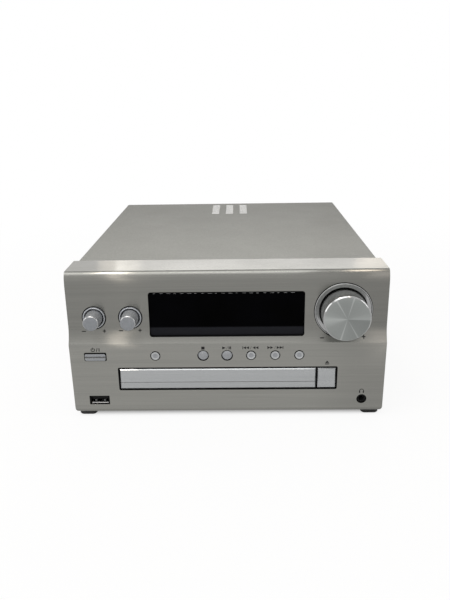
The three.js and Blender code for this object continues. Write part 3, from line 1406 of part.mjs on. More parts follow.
// The mains inlet: a deep cup with two round pins
function powerInlet() {
  const rear = COVER_REAR + INLET_PROUD;
  const deep = [rear - INLET_DEPTH, rear];
  const cup = block(around(inletX, INLET_WIDTH), deep, around(INLET_Z, INLET_HEIGHT));
  const floor = rear - INLET_CAVITY_DEPTH;
  const cavity = roundedRectangle(
    around(inletX, INLET_WIDTH - 2 * INLET_WALL),
    around(INLET_Z, INLET_HEIGHT - 2 * INLET_WALL),
    INLET_CORNER_RADIUS,
  );
  const pins = [-1, 1].map((side) => {
    const x = inletX + (side * INLET_PIN_SPACING) / 2;
    return rod("y", INLET_PIN_RADIUS, [floor - INLET_WALL / 2, rear - INLET_PIN_SETBACK], [x, INLET_Z]);
  });
  const legs = block(
    around(inletX, INLET_WIDTH - 2 * INLET_WALL),
    [rear - INLET_DEPTH, rear - INLET_DEPTH + INLET_WALL],
    [componentBase, INLET_Z],
  );
  return join(cut(cup, extrudedBack(cavity, [floor, rear + OVERRUN])), ...pins, legs);
}

// Two line sockets and the aerial socket share one moulded body on the main board
function rearSockets() {
  const across = [socketsLeft, socketsLeft + socketsWidth];
  const bodyRear = rearPanelFront - SEAT_GAP;
  const top = SOCKET_Z + SOCKET_BODY_HEIGHT / 2;
  const body = block(across, [bodyRear - SOCKET_FOOT_DEPTH, bodyRear], [componentBase, top]);
  const end = COVER_REAR + SOCKET_REACH;
  const barrels = socketXs.map((x, index) =>
    rod("y", socketRadii[index], [bodyRear - SEAT_GAP, end], [x, SOCKET_Z], BUTTON_SIDES),
  );
  const bores = socketXs.map((x, index) =>
    rod("y", socketBores[index], [bodyRear, end + OVERRUN], [x, SOCKET_Z]),
  );
  return cut(join(body, ...barrels), ...bores);
}

const terminalPlateRear = COVER_REAR + SEAT_GAP + TERMINAL_PLATE;
const terminalPlaces = [
  { name: "speaker_cap_left_red", column: -1, row: 1, finish: "redPlastic" },
  { name: "speaker_cap_left_black", column: -1, row: -1, finish: "blackPlastic" },
  { name: "speaker_cap_right_red", column: 1, row: 1, finish: "redPlastic" },
  { name: "speaker_cap_right_black", column: 1, row: -1, finish: "blackPlastic" },
].map((place) => ({
  ...place,
  x: terminalX + (place.column * TERMINAL_PITCH_X) / 2,
  z: TERMINAL_Z + (place.row * TERMINAL_PITCH_Z) / 2,
}));

function speakerTerminals() {
  const plate = roundedRectangle(
    around(terminalX, TERMINAL_PLATE_WIDTH),
    around(TERMINAL_Z, TERMINAL_PLATE_HEIGHT),
    TERMINAL_PLATE,
  );
  const body = block(
    around(terminalX, TERMINAL_PLATE_WIDTH - 2 * TERMINAL_BODY_MARGIN),
    [rearPanelFront - TERMINAL_BODY_DEPTH, COVER_REAR + TERMINAL_PLATE],
    around(TERMINAL_Z, TERMINAL_PLATE_HEIGHT - 2 * TERMINAL_BODY_MARGIN),
  );
  const postEnd = terminalPlateRear + TERMINAL_CAP_LENGTH - TERMINAL_CAP_WALL;
  const postSpan = [COVER_REAR, postEnd];
  const posts = terminalPlaces.map(({ x, z }) => rod("y", TERMINAL_POST_RADIUS, postSpan, [x, z]));
  return join(extrudedBack(plate, [COVER_REAR + SEAT_GAP, terminalPlateRear]), body, ...posts);
}

// A fluted cap on a terminal's post, in its own frame
function speakerCap() {
  const front = terminalPlateRear + SEAT_GAP;
  const rear = terminalPlateRear + SEAT_GAP + TERMINAL_CAP_LENGTH;
  const cap = rod("y", TERMINAL_CAP_RADIUS, [front, rear], [0, 0], BUTTON_SIDES);
  const boreSpan = [front - OVERRUN, rear - TERMINAL_CAP_WALL];
  const bore = rod("y", TERMINAL_POST_RADIUS + SHAFT_GAP, boreSpan, [0, 0]);
  const flutes = Array.from({ length: TERMINAL_FLUTES }, (_, index) => {
    const angle = (index * FULL_TURN) / TERMINAL_FLUTES;
    const place = [TERMINAL_CAP_RADIUS * Math.cos(angle), TERMINAL_CAP_RADIUS * Math.sin(angle)];
    return rod("y", TERMINAL_FLUTE_RADIUS, past([front, rear]), place, TERMINAL_FLUTE_SIDES);
  });
  return cut(cap, bore, ...flutes);
}

// The main board with two reservoir capacitors soldered to it
function mainBoard() {
  const across = [-mainBoardHalf, mainBoardHalf];
  const plate = block(across, [mainBoardFront, mainBoardRear], [mainBoardBottom, mainBoardTop]);
  const capacitors = [0, 1].map((index) =>
    rod(
      "z",
      CAPACITOR_RADIUS,
      [mainBoardTop - SEAT_GAP, mainBoardTop + CAPACITOR_HEIGHT],
      [capacitorX + index * CAPACITOR_PITCH, mainBoardFront + CAPACITOR_SETBACK],
      BUTTON_SIDES,
    ),
  );
  return join(plate, ...capacitors);
}

// The transformer: a laminated yoke with the coil standing out of it at front and rear
function powerTransformer() {
  const front = mainBoardFront + COMPONENT_SETBACK;
  const ySpan = [front, front + TRANSFORMER_DEPTH];
  const top = componentBase + TRANSFORMER_HEIGHT;
  const core = block(
    around(transformerX, TRANSFORMER_WIDTH),
    [ySpan[0] + TRANSFORMER_COIL_INSET, ySpan[1] - TRANSFORMER_COIL_INSET],
    [componentBase, top],
  );
  const coil = block(
    around(transformerX, TRANSFORMER_WIDTH - 2 * TRANSFORMER_YOKE),
    ySpan,
    [componentBase, top - TRANSFORMER_YOKE],
  );
  return join(core, coil);
}

// The heat sink: a base plate with upright fins towards the rear
function heatsink() {
  const front = mainBoardFront + COMPONENT_SETBACK;
  const zSpan = [componentBase, componentBase + HEATSINK_HEIGHT];
  const base = block([heatsinkLeft, heatsinkRight], [front, front + HEATSINK_BASE], zSpan);
  const pitch = (HEATSINK_WIDTH - HEATSINK_FIN) / (HEATSINK_FINS - 1);
  const fins = Array.from({ length: HEATSINK_FINS }, (_, index) => {
    const x = heatsinkLeft + index * pitch;
    return block([x, x + HEATSINK_FIN], [front, front + HEATSINK_DEPTH], zSpan);
  });
  return join(base, ...fins);
}

// A rubber foot in its own frame, rounded in plan and chamfered where it stands
function foot() {
  const plan = (inset) =>
    roundedRectangle(
      around(0, FOOT_WIDTH - 2 * inset),
      around(0, FOOT_LENGTH - 2 * inset),
      FOOT_CORNER_RADIUS - inset,
    );
  const top = panelBottom - SEAT_GAP;
  const upper = extrudedUp(plan(0), [FOOT_CHAMFER, top]);
  const lower = extrudedUp(plan(FOOT_CHAMFER), [0, FOOT_CHAMFER + SEAT_GAP]);
  return join(upper, lower);
}

// The whole object, section by section
const receiver = new THREE.Group();

const front = new THREE.Group();
receiver.add(front);
add(front, "front_panel", frontPanel(), "brushedAluminium");
add(front, "front_frame", frontFrame(), "blackPlastic");
add(front, "front_board", frontBoard(), "board");
add(front, "display_window", displayWindow(), "blackGloss");
add(front, "display_module", displayModule(), "greyPlastic");
for (const [name, control] of Object.entries(controls)) {
  const place = [control.x, 0, control.z];
  add(front, `${name}_ring`, controlRing(control), "chrome", place);
  add(front, `${name}_knob`, controlKnob(control), "spunAluminium", place);
  add(front, `${name}_shaft`, controlShaft(control), "steel", place);
  add(front, `${name}_encoder`, controlEncoder(control), "greyPlastic", place);
}
for (const { name, step, radius } of roundButtons) {
  add(front, name, roundButton(radius), "silverButton", [step * BUTTON_PITCH, 0, buttonRowZ]);
}
add(front, "power_button", powerButton(), "silverButton", [powerX, 0, powerZ]);
add(front, "eject_button", ejectButton(), "silverButton");
add(front, "usb_socket", usbSocket(), "steel", [usbX, 0, USB_Z]);
add(front, "headphone_jack", headphoneJack(), "blackPlastic", [jackX, 0, JACK_Z]);

const loader = new THREE.Group();
loader.position.x = trayX;
receiver.add(loader);
add(receiver, "tray_door", trayDoor(), "silverButton");
add(loader, "disc_tray", discTray(), "blackPlastic");
add(loader, "loader_chassis", loaderChassis(), "greyPlastic");
add(loader, "loading_gear", loadingGear(), "whitePlastic", [pinionX, pinionY, 0]);
add(loader, "motor_pulley", motorPulley(), "whitePlastic", [motorX, pinionY, 0]);
add(loader, "loading_motor", loadingMotor(), "steel", [motorX, pinionY, 0]);
add(loader, "drive_belt", driveBelt(), "rubber", [pinionX, pinionY, 0]);
add(loader, "traverse_deck", traverseDeck(), "zincSteel");
add(loader, "spindle_motor", spindleMotor(), "steel", [0, discY, 0]);
add(loader, "turntable", turntable(), "blackPlastic", [0, discY, 0]);
add(loader, "pickup_sled", pickupSled(), "greyPlastic", [0, sledLensY, 0]);
add(loader, "sled_rod", rod("y", ROD_RADIUS, rodSpan, [0, 0]), "steel", [ROD_X, 0, rodZ]);
add(loader, "sled_screw", sledScrew(), "steel", [-ROD_X, 0, rodZ]);
add(loader, "clamp_bridge", clampBridge(), "zincSteel");
add(loader, "clamper", clamper(), "whitePlastic", [0, discY, 0]);

const rear = new THREE.Group();
receiver.add(rear);
add(rear, "bottom_chassis", bottomChassis(), "zincSteel");
add(rear, "top_cover", topCover(), "paintedSteel");
add(rear, "rear_panel", rearPanel(), "paintedSteel");
add(rear, "main_board", mainBoard(), "board");
add(rear, "power_transformer", powerTransformer(), "darkSteel");
add(rear, "heatsink", heatsink(), "steel");
add(rear, "power_inlet", powerInlet(), "blackPlastic");
add(rear, "rear_sockets", rearSockets(), "blackPlastic");
add(rear, "speaker_terminals", speakerTerminals(), "blackPlastic");
for (const { name, x, z, finish } of terminalPlaces) {
  add(rear, name, speakerCap(), finish, [x, 0, z]);
}
const footReach = panelHalf - FOOT_WIDTH / 2;
const footEnds = {
  front: [footReach - FOOT_SIDE_INSET, FOOT_FRONT_INSET + FOOT_LENGTH / 2],
  rear: [footReach - FOOT_REAR_SIDE_INSET, COVER_REAR - FOOT_REAR_INSET - FOOT_LENGTH / 2],
};
for (const [end, [x, y]] of Object.entries(footEnds)) {
  add(rear, `foot_${end}_left`, foot(), "rubber", [-x, y, 0]);
  add(rear, `foot_${end}_right`, foot(), "rubber", [x, y, 0]);
}

// The origin lies on the floor, midway between the volume knob's face and the ends of the speaker caps
const rearEnd = terminalPlateRear + SEAT_GAP + TERMINAL_CAP_LENGTH;
receiver.position.y = (VOLUME_KNOB_REACH - rearEnd) / 2;

export default receiver;
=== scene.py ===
# %% [markdown]
# # A compact disc receiver, dressed for its portrait
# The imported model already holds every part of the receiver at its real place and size. This lesson gives
# the visible parts their fine surfaces: rounded edges, turned rings, brushed and painted metal, black gloss
# and rubber. Lengths are typed in millimetres: sideways from the middle of the front panel, back from the
# foot of its face, and up from the table. `spot` turns them into the frame's metres.

import json
import math

import bmesh
import bpy
from mathutils import Matrix, Vector


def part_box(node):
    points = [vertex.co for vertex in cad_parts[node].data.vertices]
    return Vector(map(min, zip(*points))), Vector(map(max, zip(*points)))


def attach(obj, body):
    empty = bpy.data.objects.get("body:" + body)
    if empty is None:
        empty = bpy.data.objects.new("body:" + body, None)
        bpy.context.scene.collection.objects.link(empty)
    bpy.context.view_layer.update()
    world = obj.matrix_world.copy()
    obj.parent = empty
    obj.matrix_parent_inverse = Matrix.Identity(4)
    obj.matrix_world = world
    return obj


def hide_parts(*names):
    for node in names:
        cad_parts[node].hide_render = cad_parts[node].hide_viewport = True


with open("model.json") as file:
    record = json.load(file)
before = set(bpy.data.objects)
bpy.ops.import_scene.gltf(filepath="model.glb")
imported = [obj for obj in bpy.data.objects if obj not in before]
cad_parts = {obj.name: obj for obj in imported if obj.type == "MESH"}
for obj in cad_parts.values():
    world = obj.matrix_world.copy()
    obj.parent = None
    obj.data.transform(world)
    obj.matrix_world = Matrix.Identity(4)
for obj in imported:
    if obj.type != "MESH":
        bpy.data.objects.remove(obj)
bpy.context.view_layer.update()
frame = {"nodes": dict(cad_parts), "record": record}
nodes = frame["nodes"]

# %% Units and the panel's place
MM = 0.001
FULL_TURN = 2 * math.pi
QUARTER_TURN = math.pi / 2
CREASE_REACH = 1.25
face_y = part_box("front_panel")[0].y / MM + CREASE_REACH
print("panel face at", round(face_y, 3), "mm")


def spot(x, y, z):
    """A place in panel millimetres as a place in the frame's metres."""
    return Vector((x, y + face_y, z)) * MM


def panel_box(node):
    """A node's lowest and highest corner in panel millimetres."""
    low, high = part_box(node)
    shift = Vector((0, face_y, 0))
    return low / MM - shift, high / MM - shift


def put(name, data):
    """Puts a new object with this data into the scene."""
    made = bpy.data.objects.new(name, data)
    bpy.context.scene.collection.objects.link(made)
    return made


# %% [markdown]
# ## Camera
# The photograph was taken from a little above, with a lens of moderate length. The camera's place and
# aim were worked out from the panel's corners, the cover's edges and the round rings, which have to look
# like true circles seen at a slant.

# %% Camera
IMAGE_HEIGHT = 600
FOCAL_PIXELS = 635
SENSOR = 36
CAMERA_PLACE = (8.5, -389.4, 218.7)
CAMERA_YAW = math.radians(-1.37)
CAMERA_PITCH = math.radians(18.93)
CAMERA_ROLL = math.radians(-0.97)

ahead = Vector((
    math.sin(CAMERA_YAW) * math.cos(CAMERA_PITCH),
    math.cos(CAMERA_YAW) * math.cos(CAMERA_PITCH),
    -math.sin(CAMERA_PITCH),
))
level_right = Vector((math.cos(CAMERA_YAW), -math.sin(CAMERA_YAW), 0))
level_up = level_right.cross(ahead)
sideways = level_right * math.cos(CAMERA_ROLL) + level_up * math.sin(CAMERA_ROLL)
upward = level_up * math.cos(CAMERA_ROLL) - level_right * math.sin(CAMERA_ROLL)
camera = put("camera", bpy.data.cameras.new("camera"))
camera.data.lens = FOCAL_PIXELS / IMAGE_HEIGHT * SENSOR
camera.data.sensor_width = SENSOR
camera.data.clip_start = 0.01
turn = Matrix((sideways, upward, -ahead)).transposed().to_4x4()
camera.matrix_world = Matrix.Translation(spot(*CAMERA_PLACE)) @ turn
bpy.context.scene.camera = camera
print("camera lens", round(camera.data.lens, 1), "mm")

# %% [markdown]
# ## A small set of shaping tools
# Most parts of a receiver are either turned on a lathe, cut from a flat outline, or folded from sheet.
# Three helpers make these forms straight into a mesh. `turned` sweeps an outline round an axis,
# `prism` carries a flat outline along an axis, and `carve` cuts one solid by another or joins the two.

# %% Outlines
CORNER_STEPS = 8


def arc(centre, radius, start, end, steps=CORNER_STEPS):
    """Points of an arc, with its angles in quarter turns."""
    points = []
    for index in range(steps + 1):
        angle = (start + (end - start) * index / steps) * QUARTER_TURN
        points.append((centre[0] + radius * math.cos(angle), centre[1] + radius * math.sin(angle)))
    return points


def rounded(left, right, bottom, top, radius, steps=CORNER_STEPS):
    """A rectangle with rounded corners."""
    return (
        arc((right - radius, bottom + radius), radius, -1, 0, steps)
        + arc((right - radius, top - radius), radius, 0, 1, steps)
        + arc((left + radius, top - radius), radius, 1, 2, steps)
        + arc((left + radius, bottom + radius), radius, 2, 3, steps)
    )


def rounded_about(x, z, half_x, half_z, radius, steps=CORNER_STEPS):
    """The same rectangle, given by its middle and half its size."""
    return rounded(x - half_x, x + half_x, z - half_z, z + half_z, radius, steps)


def bend(start, control, end, steps=14):
    """Points of a curve that leaves start towards control and arrives at end, without start itself."""
    points = []
    for index in range(1, steps + 1):
        share = index / steps
        points.append(tuple(
            (1 - share) ** 2 * a + 2 * share * (1 - share) * b + share ** 2 * c
            for a, b, c in zip(start, control, end)
        ))
    return points


# %% Turned forms
LATHE_SIDES = 128


def turned(bm, outline, place, axis="y", sides=LATHE_SIDES):
    """Sweeps (radius, along) points round the axis y or z through place. On the axis the radius is 0."""
    uv = bm.loops.layers.uv.get("turning") or bm.loops.layers.uv.new("turning")
    rings = []
    for radius, along in outline:
        if radius == 0:
            sweep = [(0, 0)]
        else:
            sweep = [
                (radius * math.cos(FULL_TURN * k / sides), radius * math.sin(FULL_TURN * k / sides))
                for k in range(sides)
            ]
        ring = []
        for first, second in sweep:
            if axis == "y":
                local = (place[0] + first, place[1] + along, place[2] + second)
            else:
                local = (place[0] + first, place[1] + second, place[2] + along)
            ring.append(bm.verts.new(spot(*local)))
        rings.append(ring)
    for level in range(len(rings) - 1):
        low, high = rings[level], rings[level + 1]
        for k in range(sides):
            after = (k + 1) % sides
            if len(low) == 1:
                corners = [low[0], high[after], high[k]]
                places = [(k + 0.5, level), (k + 1, level + 1), (k, level + 1)]
            elif len(high) == 1:
                corners = [low[k], low[after], high[0]]
                places = [(k, level), (k + 1, level), (k + 0.5, level + 1)]
            else:
                corners = [low[k], low[after], high[after], high[k]]
                places = [(k, level), (k + 1, level), (k + 1, level + 1), (k, level + 1)]
            face = bm.faces.new(corners)
            for loop, (u, v) in zip(face.loops, places):
                loop[uv].uv = (u / sides, v / len(rings))


def rod(radius, start, end):
    """The outline of a plain round rod, as turned wants it."""
    return [(0, start), (radius, start), (radius, end), (0, end)]


# %% Straight forms
def prism(bm, outline, span, direction):
    """Carries a closed flat outline from span[0] to span[1]: back (x, z), across (y, z) or up (x, y)."""
    def local(point, along):
        if direction == "back":
            return (point[0], along, point[1])
        if direction == "across":
            return (along, point[0], point[1])
        return (point[0], point[1], along)

    first, second = ([bm.verts.new(spot(*local(point, along))) for point in outline] for along in span)
    bm.faces.new(first)
    bm.faces.new(second[::-1])
    for k in range(len(outline)):
        after = (k + 1) % len(outline)
        bm.faces.new([first[k], second[k], second[after], first[after]])


def brick(bm, low, high):
    """A plain block between two corners."""
    outline = [(low[0], low[2]), (high[0], low[2]), (high[0], high[2]), (low[0], high[2])]
    prism(bm, outline, (low[1], high[1]), "back")


# %% Solids and cuts
def solid(make, *extra):
    """A closed mesh with its faces out, made by calling make(bm, ...)."""
    bm = bmesh.new()
    make(bm, *extra)
    bmesh.ops.remove_doubles(bm, verts=bm.verts, dist=1e-7)
    bmesh.ops.recalc_face_normals(bm, faces=bm.faces)
    mesh = bpy.data.meshes.new("form")
    bm.to_mesh(mesh)
    bm.free()
    return mesh


def modified(made):
    """The plain mesh that an object has after its modifiers."""
    depsgraph = bpy.context.evaluated_depsgraph_get()
    return bpy.data.meshes.new_from_object(made.evaluated_get(depsgraph))


def carve(mesh, cutter, operation="DIFFERENCE"):
    """mesh cut by cutter, or joined to it."""
    body, tool = put("carved", mesh), put("cutter", cutter)
    modifier = body.modifiers.new("cut", "BOOLEAN")
    modifier.object = tool
    modifier.operation = operation
    modifier.solver = "EXACT"
    result = modified(body)
    for made in (body, tool):
        bpy.data.objects.remove(made)
    return result


# %% [markdown]
# A finished piece is an object at the origin, shaded smooth except across its real edges. A fine bevel
# rounds those edges, because no moulded or machined edge is perfectly sharp, and a rounded edge is what
# catches the light.

# %% Finished pieces
SHARP_ANGLE = math.radians(32)
made_pieces = []


def piece(name, mesh, material, body, replaces=(), edge=0.0, segments=2):
    """Puts a mesh on stage as a named piece that rides on a body of the receiver."""
    mesh.name = name
    mesh.materials.clear()
    mesh.materials.append(material)
    mesh.shade_smooth()
    mesh.set_sharp_from_angle(angle=SHARP_ANGLE)
    made = put(name, mesh)
    if edge:
        bevel = made.modifiers.new("edge", "BEVEL")
        bevel.width = edge * MM
        bevel.segments = segments
        bevel.limit_method = "ANGLE"
        bevel.angle_limit = SHARP_ANGLE
        bevel.harden_normals = True
    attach(made, body)
    if replaces:
        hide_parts(*replaces)
    made_pieces.append(made)
    return made


# %% [markdown]
# Brushed and spun metal scatters light across its scratches and hardly along them. The shader needs to know
# the way across, so a UV layer called `turning` carries it: round the axis on turned parts, and up the
# face on brushed parts. A part may also wear a second finish on some of its faces, chosen by their place.

# %% The way across the brushing
BRUSH_SCALE = 5


def brush_layer(mesh):
    """Gives a flat brushed part a UV layer whose first direction runs up the face and back over the top."""
    for layer in list(mesh.uv_layers):
        mesh.uv_layers.remove(layer)
    layer = mesh.uv_layers.new(name="turning")
    for face in mesh.polygons:
        end_face = abs(face.normal.x) > 0.9
        for index in face.loop_indices:
            place = mesh.vertices[mesh.loops[index].vertex_index].co
            if end_face:
                layer.data[index].uv = (BRUSH_SCALE * place.z, BRUSH_SCALE * place.y)
            else:
                layer.data[index].uv = (BRUSH_SCALE * (place.z + place.y), BRUSH_SCALE * place.x)


# %% A second finish on some faces
def off_axis(centre, x, z):
    """How far a place lies from the axis that runs straight back through (x, z)."""
    return math.hypot(centre.x - x, centre.z - z)


def second_finish(made, material, chosen):
    """Puts another finish on the faces of a piece that chosen(centre, normal) picks, in panel millimetres."""
    made.data.materials.append(material)
    index = len(made.data.materials) - 1
    origin = spot(0, 0, 0)
    count = 0
    for face in made.data.polygons:
        if chosen((face.center - origin) / MM, face.normal):
            face.material_index = index
            count += 1
    return count


# %% [markdown]
# ## Finishes
# Each finish is a node material. What several finishes share is a node group, built once: `grain` gives
# the long fine scratches of brushing along one direction, `speckle` the tiny pits of paint and moulded
# plastic, and `handling` the broad soft patches that fingers and cloths leave in the gloss.

# %% Helpers for node trees
def place_node(tree, kind, **settings):
    """Adds a node, sets its plain settings and, by socket name, its input values."""
    made = tree.nodes.new(kind)
    inputs = settings.pop("inputs", {})
    for key, value in settings.items():
        setattr(made, key, value)
    for key, value in inputs.items():
        made.inputs[key].default_value = value
    return made


def wire(tree, *pairs):
    """Connects (node, output) to (node, input) for each pair."""
    for (source, output), (target, socket) in pairs:
        tree.links.new(source.outputs[output], target.inputs[socket])


def ease(tree, start, end, first, last):
    """A node that passes smoothly from first to last while its input goes from start to end."""
    return place_node(
        tree, "ShaderNodeMapRange", interpolation_type="SMOOTHSTEP",
        inputs={1: start, 2: end, 3: first, 4: last},
    )


def new_group(name, inputs, outputs):
    """An empty shader group with named number or vector inputs and number outputs."""
    tree = bpy.data.node_groups.new(name, "ShaderNodeTree")
    for label, value in inputs.items():
        kind = "NodeSocketVector" if isinstance(value, tuple) else "NodeSocketFloat"
        made = tree.interface.new_socket(label, in_out="INPUT", socket_type=kind)
        made.default_value = value
    for label in outputs:
        tree.interface.new_socket(label, in_out="OUTPUT", socket_type="NodeSocketFloat")
    return tree, place_node(tree, "NodeGroupInput"), place_node(tree, "NodeGroupOutput")


# %% The grain group
def build_grain():
    inputs = {"Stretch": (14.0, 900.0, 900.0), "Broad": 0.35}
    tree, given, result = new_group("grain", inputs, ["Tone", "Height"])
    where = place_node(tree, "ShaderNodeTexCoord")
    pull = place_node(tree, "ShaderNodeVectorMath", operation="MULTIPLY")
    fine = place_node(tree, "ShaderNodeTexNoise", inputs={"Scale": 1.0, "Detail": 3.0, "Roughness": 0.62})
    slower = place_node(tree, "ShaderNodeVectorMath", operation="SCALE", inputs={"Scale": 0.16})
    wide = place_node(tree, "ShaderNodeTexNoise", inputs={"Scale": 1.0, "Detail": 2.0, "Roughness": 0.5})
    both = place_node(tree, "ShaderNodeMix", data_type="FLOAT")
    wire(
        tree,
        ((where, "Object"), (pull, 0)),
        ((given, "Stretch"), (pull, 1)),
        ((pull, 0), (fine, "Vector")),
        ((pull, 0), (slower, 0)),
        ((slower, 0), (wide, "Vector")),
        ((given, "Broad"), (both, 0)),
        ((fine, 0), (both, 2)),
        ((wide, 0), (both, 3)),
        ((both, 0), (result, "Tone")),
        ((fine, 0), (result, "Height")),
    )
    return tree


grain = build_grain()
print("group", grain.name, len(grain.nodes), "nodes")


# %% The speckle and handling groups
def build_speckle():
    tree, given, result = new_group("speckle", {"Size": 2600.0}, ["Tone", "Height"])
    where = place_node(tree, "ShaderNodeTexCoord")
    pits = place_node(tree, "ShaderNodeTexNoise", inputs={"Detail": 2.0, "Roughness": 0.6})
    spread = place_node(tree, "ShaderNodeMapRange", inputs={1: 0.3, 2: 0.7})
    wire(
        tree,
        ((where, "Object"), (pits, "Vector")),
        ((given, "Size"), (pits, "Scale")),
        ((pits, 0), (spread, 0)),
        ((spread, 0), (result, "Tone")),
        ((pits, 0), (result, "Height")),
    )
    return tree


def build_handling():
    tree, given, result = new_group("handling", {"Size": 22.0, "Least": 0.0, "Most": 1.0}, ["Value"])
    where = place_node(tree, "ShaderNodeTexCoord")
    patches = place_node(tree, "ShaderNodeTexNoise", inputs={"Detail": 4.0, "Roughness": 0.55})
    spread = place_node(tree, "ShaderNodeMapRange", inputs={1: 0.35, 2: 0.65})
    wire(
        tree,
        ((where, "Object"), (patches, "Vector")),
        ((given, "Size"), (patches, "Scale")),
        ((patches, 0), (spread, 0)),
        ((given, "Least"), (spread, 3)),
        ((given, "Most"), (spread, 4)),
        ((spread, 0), (result, "Value")),
    )
    return tree


speckle = build_speckle()
handling = build_handling()
print("groups", speckle.name, handling.name)


# %% A finish from its numbers
def shade(value, tint=(0, 0, 0)):
    """A screen grey from 0 to 255, with a tint, as a linear colour."""
    levels = [(value + part) / 255 for part in tint]
    return tuple(((c + 0.055) / 1.055) ** 2.4 if c > 0.04045 else c / 12.92 for c in levels) + (1.0,)


def finish(name, dark, light, pattern, pattern_inputs, rough=(0.3, 0.4), bump=0.0, **shader):
    """A Principled material whose colour runs from dark to light by a pattern group, and whose
    roughness runs by the handling group. Other values are set on the shader's own sockets."""
    material = bpy.data.materials.new(name)
    material.use_nodes = True
    tree = material.node_tree
    bsdf = tree.nodes["Principled BSDF"]
    for key, value in shader.items():
        bsdf.inputs[key.replace("_", " ")].default_value = value
    marks = place_node(tree, "ShaderNodeGroup", node_tree=pattern, inputs=pattern_inputs)
    colours = place_node(tree, "ShaderNodeMix", data_type="RGBA", inputs={6: dark, 7: light})
    span = {"Least": rough[0], "Most": rough[1]}
    gloss = place_node(tree, "ShaderNodeGroup", node_tree=handling, inputs=span)
    wire(
        tree,
        ((marks, "Tone"), (colours, 0)),
        ((colours, 2), (bsdf, "Base Color")),
        ((gloss, "Value"), (bsdf, "Roughness")),
    )
    if bump:
        relief = place_node(tree, "ShaderNodeBump", inputs={"Strength": 1.0, "Distance": bump * MM})
        wire(tree, ((marks, "Height"), (relief, "Height")), ((relief, 0), (bsdf, "Normal")))
    return material


# %% Finishes that share more
def speckled(name, dark, light, size, **more):
    """A finish whose colour runs by the speckle group at one size of pit."""
    return finish(name, dark, light, speckle, {"Size": size}, **more)


def black_polish(name):
    """The near-black gloss that the dark parts and the window share."""
    return speckled(name, shade(2), shade(4, (0, 0, 2)), 40.0, rough=(0.04, 0.09), Specular_IOR_Level=0.01)


def colour_over(material, colour):
    """Lays a second colour over a material's own. The returned node's first input says how much of it."""
    tree = material.node_tree
    bsdf = tree.nodes["Principled BSDF"]
    base = bsdf.inputs["Base Color"].links[0].from_node
    blend = place_node(tree, "ShaderNodeMix", data_type="RGBA", inputs={7: colour})
    wire(tree, ((base, 2), (blend, 6)), ((blend, 2), (bsdf, "Base Color")))
    return blend


# %% [markdown]
# The front panel is aluminium brushed from side to side, so its grain is stretched along X. The knobs are
# spun on a lathe: their scratches run in circles, which is why light gathers on them in wedges. A
# `Tangent` that follows the turning of the mesh tells the shader the direction of those scratches.

# %% The metals
brushed = finish(
    "brushed_aluminium", shade(122, (1, 1, -3)), shade(146, (1, 0, -5)),
    grain, {"Stretch": (16.0, 1100.0, 1100.0), "Broad": 0.4},
    rough=(0.15, 0.19), bump=0.004, Metallic=1.0, Anisotropic=1.0,
)
chrome = speckled("chrome", shade(146), shade(164), 900.0, rough=(0.08, 0.14), Metallic=1.0)
cut_edge = speckled("cut_edge", shade(150), shade(166), 900.0, rough=(0.12, 0.18), Metallic=1.0)
spun = speckled(
    "spun_aluminium", shade(160, (0, 2, 0)), shade(174, (0, 2, 0)), 1200.0,
    rough=(0.36, 0.42), Metallic=1.0, Anisotropic=0.9,
)
satin = speckled(
    "satin_aluminium", shade(158, (0, 3, 7)), shade(172, (0, 3, 7)), 1200.0,
    rough=(0.26, 0.32), Metallic=0.5, Anisotropic=0.5,
)
# Painted shade: a darker copy of the satin for the tone knobs' faces.
satin_face_painted_shade = speckled(
    "satin_face_painted_shade", shade(124, (0, 3, 7)), shade(138, (0, 3, 7)), 1200.0,
    rough=(0.26, 0.32), Metallic=0.5, Anisotropic=0.5,
)
# Painted highlight: a bright metal for the tone rings' crown.
lip_painted_highlight = speckled("lip_painted_highlight", shade(226), shade(242), 900.0, rough=(0.12, 0.18), Metallic=1.0)
zinc = speckled(
    "zinc_steel", shade(165, (0, 2, 3)), shade(196, (0, 2, 4)), 260.0,
    rough=(0.3, 0.45), bump=0.01, Metallic=1.0,
)
bright_steel = finish(
    "bright_steel", shade(185), shade(205), grain, {"Stretch": (300.0, 300.0, 2400.0), "Broad": 0.2},
    rough=(0.18, 0.28), Metallic=1.0,
)
laminations = finish(
    "laminations", shade(62), shade(88, (2, 0, -4)), grain, {"Stretch": (90.0, 90.0, 1400.0), "Broad": 0.1},
    rough=(0.4, 0.55), bump=0.02, Metallic=0.8,
)
extruded = finish(
    "extruded_aluminium", shade(180), shade(200), grain, {"Stretch": (900.0, 900.0, 24.0), "Broad": 0.3},
    rough=(0.3, 0.4), bump=0.004, Metallic=1.0,
)


# %% Scratches along the turning, and painted light and shade by place
def turn_tangent(material):
    """Lets the scratches of a spun metal run round the axis that the mesh was turned on."""
    tree = material.node_tree
    along = place_node(tree, "ShaderNodeTangent", direction_type="UV_MAP", uv_map="turning")
    wire(tree, ((along, 0), (tree.nodes["Principled BSDF"], "Tangent")))


for material in (brushed, spun, satin, satin_face_painted_shade):
    turn_tangent(material)


def paint_light_by_place(material, steps):
    """Paints light and shade by place. A step is an axis, its start and end on it, and the share at each."""
    tree = material.node_tree
    bsdf = tree.nodes["Principled BSDF"]
    where = place_node(tree, "ShaderNodeTexCoord")
    parts = place_node(tree, "ShaderNodeSeparateXYZ")
    wire(tree, ((where, "Object"), (parts, 0)))
    for axis, start, end, first, last in steps:
        source = bsdf.inputs["Base Color"].links[0].from_socket
        share = ease(tree, start * MM, end * MM, first, last)
        painted_step = place_node(tree, "ShaderNodeVectorMath", operation="MULTIPLY")
        wire(tree, ((parts, axis), (share, 0)), ((share, 0), (painted_step, 1)))
        tree.links.new(source, painted_step.inputs[0])
        wire(tree, ((painted_step, 0), (bsdf, "Base Color")))


